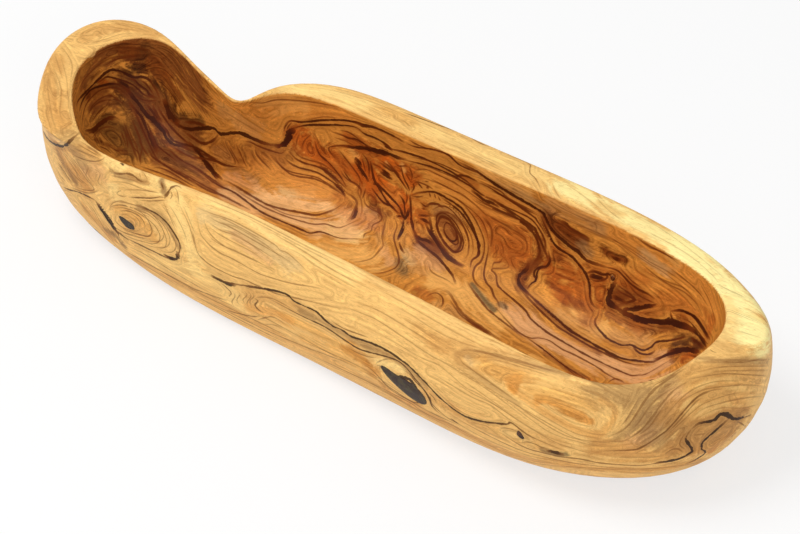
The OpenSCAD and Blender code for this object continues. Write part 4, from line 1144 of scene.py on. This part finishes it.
def vein_fields(at, samples):
    """Nearest vein at each place: signed distance, half width, darkness, shade, gap and tangent."""
    nearest = KDTree(len(samples))
    for i, row in enumerate(samples):
        nearest.insert(row[:3], i)
    nearest.balance()
    row = samples[[nearest.find(place)[1] for place in at]]
    tangent, sideways, dark, width = row[:, 3:6], row[:, 6:9], row[:, 9], row[:, 10]
    offset = at - row[:, :3]
    along = (offset * tangent).sum(1)
    side = (offset * sideways).sum(1)
    past_end = np.maximum(np.abs(along) - END_LENGTH, 0)
    gap = np.sqrt((offset**2).sum(1) - along**2 + past_end**2)
    signed = np.clip(np.where(side < 0, -gap, gap), -FARTHEST, FARTHEST)
    drawn = dark * (gap < np.maximum(REACH_IN_WIDTHS * width, LEAST_REACH))
    shade = dark * np.exp(-gap / np.where(side > 0, SHADE_BEFORE + width, SHADE_BEHIND))
    return np.column_stack([signed / MM, width / MM, drawn, shade, gap / MM, tangent])


# Brush strokes: how fast they fade, how far the grain frays them, and the distance between dabs
BRUSH_EDGE = 1.4
BRUSH_FRAY, FRAY_LOW, FRAY_HIGH = 0.22, -2, 1
DAB_STEP = 3 * MM


def brush_weight(at, places, radius, flame):
    """Share of a stroke's colour at each place: full in the middle, and none past its radius."""
    gap = np.full(len(at), np.inf)
    for place in places:
        gap = np.minimum(gap, ((at - place) ** 2).sum(1))
    gap = np.sqrt(gap)
    inside_by = 1 - gap / radius + BRUSH_FRAY * np.clip(flame, FRAY_LOW, FRAY_HIGH)
    fall = np.clip(BRUSH_EDGE * inside_by, 0, 1) * (gap < radius)
    return fall**2 * (3 - 2 * fall)


def tone_field(at, hollow, flame):
    """Colour of the plain wood at each place, from brush strokes that fray along the grain; a few
    strokes add painted shade and painted highlight to it.
    """
    colour = np.where(hollow[:, None], srgb(PALETTE[HOLLOW_BASE]), srgb(PALETTE[OUTER_BASE]))
    for tones, inside in ((HOLLOW_TONES, True), (OUTER_TONES, False)):
        for name, strength, radius, points in tones:
            radius *= MM
            for run in lifted(points, inside):
                places = run[:, 0][:: max(int(radius / DAB_STEP), 1)]
                low, high = places.min(0) - radius, places.max(0) + radius
                near = np.flatnonzero(((at > low) & (at < high)).all(1) & (hollow == inside))
                weight = strength * brush_weight(at[near], places, radius, flame[near])
                colour[near] += (srgb(PALETTE[name]) - colour[near]) * weight[:, None]
    return colour


def ring_field(at):
    """Distance from the pith in millimetres, pushed out round each buried branch."""
    ring = np.hypot(at[:, 1] - PITH_Y, at[:, 2] - PITH_Z) / MM
    for place, reach, rise in BRANCHES:
        ring += rise * np.exp(-(((at / MM - place) / reach) ** 2).sum(1))
    return ring


def evened(mesh, values, passes):
    """Values on the mesh after passes that move each halfway to the mean of its neighbours."""
    edges = np.empty(len(mesh.edges) * 2, int)
    mesh.edges.foreach_get("vertices", edges)
    a, b = edges.reshape(-1, 2).T
    count = np.bincount(edges, minlength=len(values))
    for _ in range(passes):
        total = np.bincount(a, values[b], len(values)) + np.bincount(b, values[a], len(values))
        values = (values + total / np.maximum(count, 1)) / 2
    return values


# The veins lead the grain within a few millimetres of them, and the year rings lead it elsewhere.
DIRECTION_PASSES, GAP_PASSES = 30, 12
VEINS_LEAD = 3
RING_WEIGHT = 0.03
SLOPE_STEP = 0.5 * MM


def grain_direction(mesh, at, out, gap, tangent):
    """Direction of the grain on the skin: along the veins, and along the year rings far from them."""
    slope = [ring_field(at + SLOPE_STEP * axis) - ring_field(at) for axis in np.eye(3)]
    rings = unit(np.cross(np.transpose(slope), out))
    weight = 1 / (1 + (gap / VEINS_LEAD) ** 2)
    spread = np.empty((len(at), 3, 3))
    for i, j in product(range(3), repeat=2):
        pull = weight * tangent[:, i] * tangent[:, j] + RING_WEIGHT * rings[:, i] * rings[:, j]
        spread[:, i, j] = evened(mesh, pull, DIRECTION_PASSES)
    return np.linalg.eigh(spread)[1][:, :, 2]


# Width, length and random seed of the two kinds of streak in the grain
STREAKS = {
    "streak": (0.8 * MM, 7 * MM, 1),
    "flame": (2.2 * MM, 12 * MM, 2),
}


def streaks(at, direction, width, length, seed):
    """Random tone drawn out along the grain, with a mean of 0 and a spread of 1."""
    low = at.min(0) - length
    size = ((np.ptp(at, axis=0) + 2 * length) / width).astype(int) + 2
    random = np.random.default_rng(seed).random(size)
    total = np.zeros(len(at))
    for step in np.arange(-length, length, width / 2):
        total += random[tuple(((at + step * direction - low) / width).astype(int).T)]
    return (total - total.mean()) / total.std()


def paint(obj):
    """Writes the wood's fields on the mesh as attributes."""
    mesh = obj.data
    at, out = corners(mesh), normals(mesh)
    hollow = in_hollow(at, out)
    hollow_groups = shared_out(vein_samples(HOLLOW_VEINS, True))
    outer_groups = shared_out(vein_samples(OUTER_VEINS, False))
    fields = np.empty((len(GROUPS), len(at), FIELD_COUNT))
    for field, inner, outer in zip(fields, hollow_groups, outer_groups):
        field[hollow] = vein_fields(at[hollow], inner)
        field[~hollow] = vein_fields(at[~hollow], outer)
    side, width, vein, shade, gap, *tangents = fields.transpose(2, 0, 1)
    tangent = np.array(tangents)[:, gap.argmin(0), np.arange(len(at))].T
    direction = grain_direction(mesh, at, out, gap.min(0), tangent)
    values = {}
    for name, field in (("side_", side), ("width_", width), ("vein_", vein)):
        values |= {name + group: field[i] for i, group in enumerate(GROUPS)}
    values |= {"shade": shade.max(0), "gap": evened(mesh, gap.min(0), GAP_PASSES)}
    values |= {"ring": ring_field(at), "hollow": hollow.astype(float)}
    values |= {name: streaks(at, direction, *sizes) for name, sizes in STREAKS.items()}
    for name, value in values.items():
        mesh.attributes.new(name, "FLOAT", "POINT").data.foreach_set("value", value)
    tone = np.column_stack([tone_field(at, hollow, values["flame"]), np.ones(len(at))])
    mesh.attributes.new("tone", "FLOAT_COLOR", "POINT").data.foreach_set("color", tone.ravel())


# Noise in the wood: a factor on its scale along the bowl, that scale per millimetre, its detail and
# its roughness
NOISES = {
    "bend": (0.15, 0.03, 2.0, 0.5),
    "patch": (1.0, 0.016, 2.0, 0.5),
    "wobble": (0.3, 0.09, 2.0, 0.5),
    "busy": (1.0, 0.05, 2.0, 0.5),
    "fibre": (0.06, 2.0, 3.0, 0.6),
    "pore": (0.1, 3.5, 1.0, 0.5),
    "cloud": (0.3, 0.035, 2.0, 0.5),
    "fray": (1.0, 0.25, 4.0, 0.5),
    "swirl": (1.0, 0.3, 3.0, 0.6),
}
# Smooth ramps: where each starts and ends, and what it gives there when that isn't 0 and 1
RAMPS = {
    "unseen": (8.0, 14.0),
    "ring line": (0.004, 0.018, 1.0, 0.0),
    "ring patch": (0.42, 0.6, 0.1, 1.0),
    "ring colour": (0.5, 1.0),
    "past veins": (2.5, 6.0),
    "busy outside": (0.35, 0.75, 0.45, 0.15),
    "busy hollow": (0.12, 0.42, 1.0, 0.3),
    "busy patch": (0.35, 0.6, 0.5, 1.0),
    "pore": (0.62, 0.72),
    "ridge": (0.0, 0.35, 1.0, 0.0),
    "band": (0.46, 0.62),
    "pale cloud": (0.48, 0.36),
    "warm cloud": (0.5, 0.64),
    "pale streak": (-0.2, -2.2),
    "deep streak": (0.2, 2.2),
    "pale line": (0.5, 0.36),
    "dark line": (0.5, 0.6),
    "dark ridge": (0.2, 1.0),
    "whole": (0.0, 1.0),
    "depth outside": (0.0, 0.85),
    "depth hollow": (-0.1, 0.8),
    "core": (-0.1, 0.22, 0.94, 0.0),
    "darkest": (0.5, 1.0),
    "heart": (0.4, 0.6),
    "crack": (0.0, 0.05, 1.0, 0.0),
}
# Numbers and colours for the outside of the bowl and, second, for its hollow
SIDES = {
    "fine share": (1.2, 1.0),
    "ridge share": (0.2, 0.4),
    "shade share": (0.3, 0.45),
    "brightness": (0.9, 1.0),
    "vein width": (-0.15, 0.1),
}
SOFT_VEINS, DARK_VEINS = ("walnut", "bark"), ("soot", "bole")
# What each kind of mark does to the plain wood's colour, as factors of red, green and blue
STAINS = {
    "pale": (1.45, 1.5, 1.45, 1),
    "deep": (0.7, 0.6, 0.5, 1),
    "line": (0.5, 0.42, 0.34, 1),
    "ring": (0.8, 0.7, 0.6, 1),
    "warm": (0.96, 0.82, 0.62, 1),
}
# Bump's strength and height, the spread of the roughness, its least value, and the gloss
WOOD_FINISH = (0.35, 0.12 * MM, 0.2, 0.42, 0.12)
KNOT_FINISH = (0.4, 0.15 * MM, 0.3, 0.3, 0.25)
WHITE = (1, 1, 1, 1)
NOISE_MIDDLE = 0.5


class Nodes:
    """Short calls for building a node tree."""

    def __init__(self, owner):
        owner.use_nodes = True
        self.tree = owner.node_tree
        self.tree.nodes.clear()

    def put(self, socket, value):
        if isinstance(value, bpy.types.NodeSocket):
            self.tree.links.new(value, socket)
        else:
            socket.default_value = value

    def node(self, kind, inputs=(), **settings):
        made = self.tree.nodes.new("ShaderNode" + kind)
        for key, value in settings.items():
            setattr(made, key, value)
        for key, value in dict(inputs).items():
            self.put(made.inputs[key], value)
        return made

    def math(self, operation, a, b=0.0, c=0.0):
        return self.node("Math", {0: a, 1: b, 2: c}, operation=operation).outputs[0]

    def product(self, first, *others):
        for other in others:
            first = self.math("MULTIPLY", first, other)
        return first

    def scaled(self, value, factor, added):
        """A number times its factor, with another number added."""
        return self.math("MULTIPLY_ADD", value, factor, added)

    def distance(self, a, b=0.0):
        """How far two numbers are apart."""
        return self.math("ABSOLUTE", self.math("SUBTRACT", a, b))

    def value(self, name):
        return self.node("Attribute", attribute_name=name).outputs["Fac"]

    def ramp(self, value, name):
        start, end, *results = RAMPS[name]
        inputs = dict(enumerate((value, start, end, *(results or (0.0, 1.0)))))
        return self.node("MapRange", inputs, interpolation_type="SMOOTHSTEP").outputs[0]

    def mix(self, factor, a, b):
        """Colour a where the factor is 0, and b where it is 1."""
        made = self.node("Mix", data_type="RGBA")
        for socket, value in zip((made.inputs[0], made.inputs[6], made.inputs[7]), (factor, a, b)):
            self.put(socket, value)
        return made.outputs[2]

    def either(self, factor, a, b):
        """Number a where the factor is 0, and b where it is 1."""
        return self.node("Mix", {0: factor, 2: a, 3: b}, data_type="FLOAT").outputs[0]

    def by_side(self, name):
        """Number for the outside of the bowl or for its hollow."""
        return self.either(self.value("hollow"), *SIDES[name])

    def colour(self, name):
        return (*srgb(PALETTE[name]), 1)

    def colour_by_side(self, names):
        """Colour for the outside of the bowl or for its hollow."""
        return self.mix(self.value("hollow"), *(self.colour(name) for name in names))

    def noise(self, name):
        """Noise on the object, drawn out along the bowl's length."""
        lengthwise, scale, detail, roughness = NOISES[name]
        place = self.node("TexCoord").outputs["Object"]
        stretch = {0: place, 1: (lengthwise / MM, 1 / MM, 1 / MM)}
        place = self.node("VectorMath", stretch, operation="MULTIPLY").outputs[0]
        inputs = {"Vector": place, "Scale": scale, "Detail": detail, "Roughness": roughness}
        return self.node("TexNoise", inputs).outputs["Fac"]

    def noise_along(self, number, scale):
        """Noise that follows one number, the same wherever that number is the same."""
        inputs = {"W": number, "Scale": scale}
        return self.node("TexNoise", inputs, noise_dimensions="1D").outputs["Fac"]

    def surface(self, colour, height, grain, finish):
        """Ends a material with matt wood that has a bump and a roughness of its own."""
        strength, relief, spread, roughness, gloss = finish
        bump = {"Strength": strength, "Distance": relief, "Height": height}
        shader = self.node("BsdfPrincipled", {
            "Base Color": colour,
            "Roughness": self.scaled(grain, spread, roughness),
            "Specular IOR Level": gloss,
            "Normal": self.node("Bump", bump).outputs[0],
        })
        self.node("OutputMaterial", {"Surface": shader.outputs[0]})


# How far noise and flame bend the rings and fine lines, in millimetres, and the scales of both
RING_BEND, RING_SCALE = 26.0, 0.13
FLAME_PULL, WOBBLE_PULL = 1.1, 4.0
BESIDE_VEINS_SCALE, ALONG_RINGS_SCALE = 1.1, 0.9


def fine_lines(n, phase):
    """Fine lines that run beside the veins and, where no vein is near, along the year rings."""
    gap = n.value("gap")
    drift = n.scaled(n.value("flame"), FLAME_PULL, n.product(n.noise("wobble"), WOBBLE_PULL))
    beside = n.noise_along(n.math("ADD", drift, gap), BESIDE_VEINS_SCALE)
    along = n.noise_along(n.math("ADD", drift, phase), ALONG_RINGS_SCALE)
    return n.either(n.ramp(gap, "past veins"), beside, along)


def figure_strength(n, tone):
    """How busy the fine figure is: most in the dark wood of the hollow, and least in pale wood."""
    light = n.node("RGBToBW", {0: tone}).outputs[0]
    return n.either(n.value("hollow"), n.ramp(light, "busy outside"), n.ramp(light, "busy hollow"))


def stained(n, colour, marks):
    """The colour after each mark, a row with its number, its ramp, its share and its stain."""
    for number, ramp, share, stain in marks:
        share = n.product(n.ramp(number, ramp), share)
        factor = n.mix(share, WHITE, STAINS[stain])
        colour = n.node("VectorMath", {0: colour, 1: factor}, operation="MULTIPLY").outputs[0]
    return colour


# Shares of the marks, and what fibre, noise and streaks do to brightness, vein width and height
BAND_SHARE, CLOUD_SHARE, PALE_SHARE, PORE_SHARE = 0.6, 0.6, 0.5, 0.5
FIBRE_GAIN, FIBRE_HEIGHT = 0.5, 0.6
FRAY_WIDTH, STREAK_WIDTH = 1.6, -0.2
VEIN_HEIGHT = -0.5


def veined(n, colour, soft, dark):
    """The colour with the drawn veins on it, and the strongest of their cores and the dark lines."""
    fray = n.scaled(n.value("streak"), STREAK_WIDTH, n.by_side("vein width"))
    spread = n.scaled(n.noise("fray"), FRAY_WIDTH, fray)
    darkest = n.colour_by_side(DARK_VEINS)
    for group in GROUPS:
        vein = n.value("vein_" + group)
        width = n.product(n.value("width_" + group), spread)
        edge = n.math("SUBTRACT", n.distance(n.value("side_" + group)), width)
        depths = n.ramp(vein, "depth outside"), n.ramp(vein, "depth hollow")
        core = n.product(n.ramp(edge, "core"), n.either(n.value("hollow"), *depths))
        dark = n.math("MAXIMUM", dark, core)
        colour = n.mix(core, colour, n.mix(n.ramp(vein, "darkest"), soft, darkest))
    return colour, dark


def wood_material(name):
    """Olive wood: brushed tones, stains of fine figure and year rings, and then the drawn veins."""
    material = bpy.data.materials.new(name)
    n = Nodes(material)
    streak, flame = n.value("streak"), n.value("flame")
    tone = n.node("Attribute", attribute_name="tone").outputs["Color"]
    soft = n.colour_by_side(SOFT_VEINS)

    # Far from every drawn vein, the figure is that of the log's year rings
    unseen = n.ramp(n.value("gap"), "unseen")
    phase = n.scaled(n.noise("bend"), RING_BEND, n.value("ring"))
    band = n.noise_along(phase, RING_SCALE)
    ring_patch = n.ramp(n.noise("patch"), "ring patch")
    ring_line = n.product(n.ramp(n.distance(band, NOISE_MIDDLE), "ring line"), ring_patch, unseen)

    fine = fine_lines(n, phase)
    busy = figure_strength(n, tone)
    patch = n.product(n.ramp(n.noise("busy"), "busy patch"), busy)
    fibre, cloud = n.noise("fibre"), n.noise("cloud")
    ridge = n.ramp(n.distance(flame), "ridge")
    ridge_share = n.product(patch, n.by_side("ridge share"))
    fine_share = n.product(n.by_side("fine share"), busy)
    colour = stained(n, tone, (
        (band, "band", n.product(unseen, BAND_SHARE), "ring"),
        (cloud, "pale cloud", n.product(unseen, CLOUD_SHARE, PALE_SHARE), "pale"),
        (cloud, "warm cloud", n.product(unseen, CLOUD_SHARE), "warm"),
        (flame, "pale streak", fine_share, "pale"),
        (flame, "deep streak", fine_share, "deep"),
        (streak, "pale streak", fine_share, "pale"),
        (streak, "deep streak", fine_share, "deep"),
        (fine, "pale line", n.product(patch, PALE_SHARE), "pale"),
        (fine, "dark line", patch, "line"),
        (ridge, "dark ridge", ridge_share, "line"),
        (n.ramp(n.noise("pore"), "pore"), "whole", PORE_SHARE, "line"),
    ))
    colour = n.mix(n.product(n.value("shade"), n.by_side("shade share")), colour, soft)
    brightness = n.scaled(fibre, FIBRE_GAIN, n.by_side("brightness"))
    colour = n.node("VectorMath", {0: colour, 3: brightness}, operation="SCALE").outputs[0]
    ring_colour = n.mix(n.ramp(ring_patch, "ring colour"), soft, n.colour("cocoa"))
    colour, dark = veined(n, n.mix(ring_line, colour, ring_colour), soft, ring_line)
    height = n.scaled(dark, VEIN_HEIGHT, n.scaled(fibre, FIBRE_HEIGHT, fine))
    n.surface(colour, height, fibre, WOOD_FINISH)
    return material


SWIRL_TURNS, CRACK_SHARE = 14.0, 0.7


def knot_material(name, heart, edge, crack):
    """Hard dark knot wood: two tones in swirls, with thin cracks."""
    material = bpy.data.materials.new(name)
    n = Nodes(material)
    swirl = n.noise("swirl")
    lines = n.noise_along(n.product(swirl, SWIRL_TURNS), 1.0)
    colour = n.mix(n.ramp(swirl, "heart"), n.colour(heart), n.colour(edge))
    split = n.ramp(n.distance(lines, NOISE_MIDDLE), "crack")
    colour = n.mix(n.product(split, CRACK_SHARE), colour, n.colour(crack))
    n.surface(colour, lines, swirl, KNOT_FINISH)
    return material


def finish_piece(obj, node, material):
    """Dresses the object and lets it stand for its CAD node."""
    obj.data.materials.clear()
    obj.data.materials.append(material)
    obj.data.shade_smooth()
    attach(obj, "root")
    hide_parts(node)


body = new_object("carved_wood", skin.data.copy())
for node, colours in KNOT_COLOURS.items():
    boolean(body, knot_block(node, KNOT_GAP, CUTTER_RISE), "DIFFERENCE")
    knot = new_object(node + "_wood", skin.data.copy())
    boolean(knot, knot_block(node, 0, CUTTER_RISE), "INTERSECT")
    finish_piece(knot, node, knot_material(node + "_hard_wood", *colours))
bpy.data.objects.remove(skin)
paint(body)
finish_piece(body, BODY, wood_material("olive_wood"))


def set_camera():
    data = bpy.data.cameras.new("camera")
    data.lens, data.sensor_width = FOCAL_LENGTH, SENSOR_WIDTH
    data.clip_start, data.clip_end = CLIP_NEAR, CLIP_FAR
    camera = new_object("camera", data)
    camera.location = camera_place
    camera.rotation_euler = (-view_back).to_track_quat("-Z", "Y").to_euler()
    scene.camera = camera
    scene.view_settings.view_transform = "Standard"


def rays_of(n, *kinds):
    """1 for rays of these kinds, and 0 for all others."""
    rays = n.node("LightPath").outputs
    found = rays[f"Is {kinds[0]} Ray"]
    for kind in kinds[1:]:
        found = n.math("MAXIMUM", found, rays[f"Is {kind} Ray"])
    return found


def add_floor():
    """A pale floor that looks whiter than the light that it throws back on the bowl."""
    mesh = bpy.data.meshes.new("floor")
    plan = ((-1, -1), (1, -1), (1, 1), (-1, 1))
    mesh.from_pydata([(x * FLOOR_HALF, y * FLOOR_HALF, 0) for x, y in plan], [], [(0, 1, 2, 3)])
    floor = new_object("floor", mesh)
    material = bpy.data.materials.new("floor_white")
    n = Nodes(material)
    seen = n.product(rays_of(n, "Camera", "Glossy", "Transmission"), FLOOR_WHITE_SHARE)
    lit = n.node("BsdfDiffuse", {"Color": (FLOOR_GREY, FLOOR_GREY, FLOOR_GREY, 1)}).outputs[0]
    white = n.node("Emission", {"Color": WHITE, "Strength": 1.0}).outputs[0]
    blend = n.node("MixShader", {0: seen, 1: lit, 2: white}).outputs[0]
    n.node("OutputMaterial", {"Surface": blend})
    floor.data.materials.append(material)


def add_sky():
    """A sky that looks white and lights the bowl softly."""
    world = bpy.data.worlds.new("studio")
    scene.world = world
    n = Nodes(world)
    strength = n.either(rays_of(n, "Camera", "Transmission"), SKY_LIGHT, 1.0)
    sky = n.node("Background", {"Color": WHITE, "Strength": strength})
    n.node("OutputWorld", {"Surface": sky.outputs[0]})


def add_lamp(name, place, size, power):
    data = bpy.data.lights.new(name, "AREA")
    data.shape, data.size, data.energy = "DISK", size, power
    made = new_object(name, data)
    made.location = place
    made.rotation_euler = (LAMP_AIM - Vector(place)).to_track_quat("-Z", "Y").to_euler()


set_camera()
add_floor()
add_sky()
for name, lamp in LAMPS.items():
    add_lamp(name, *lamp)
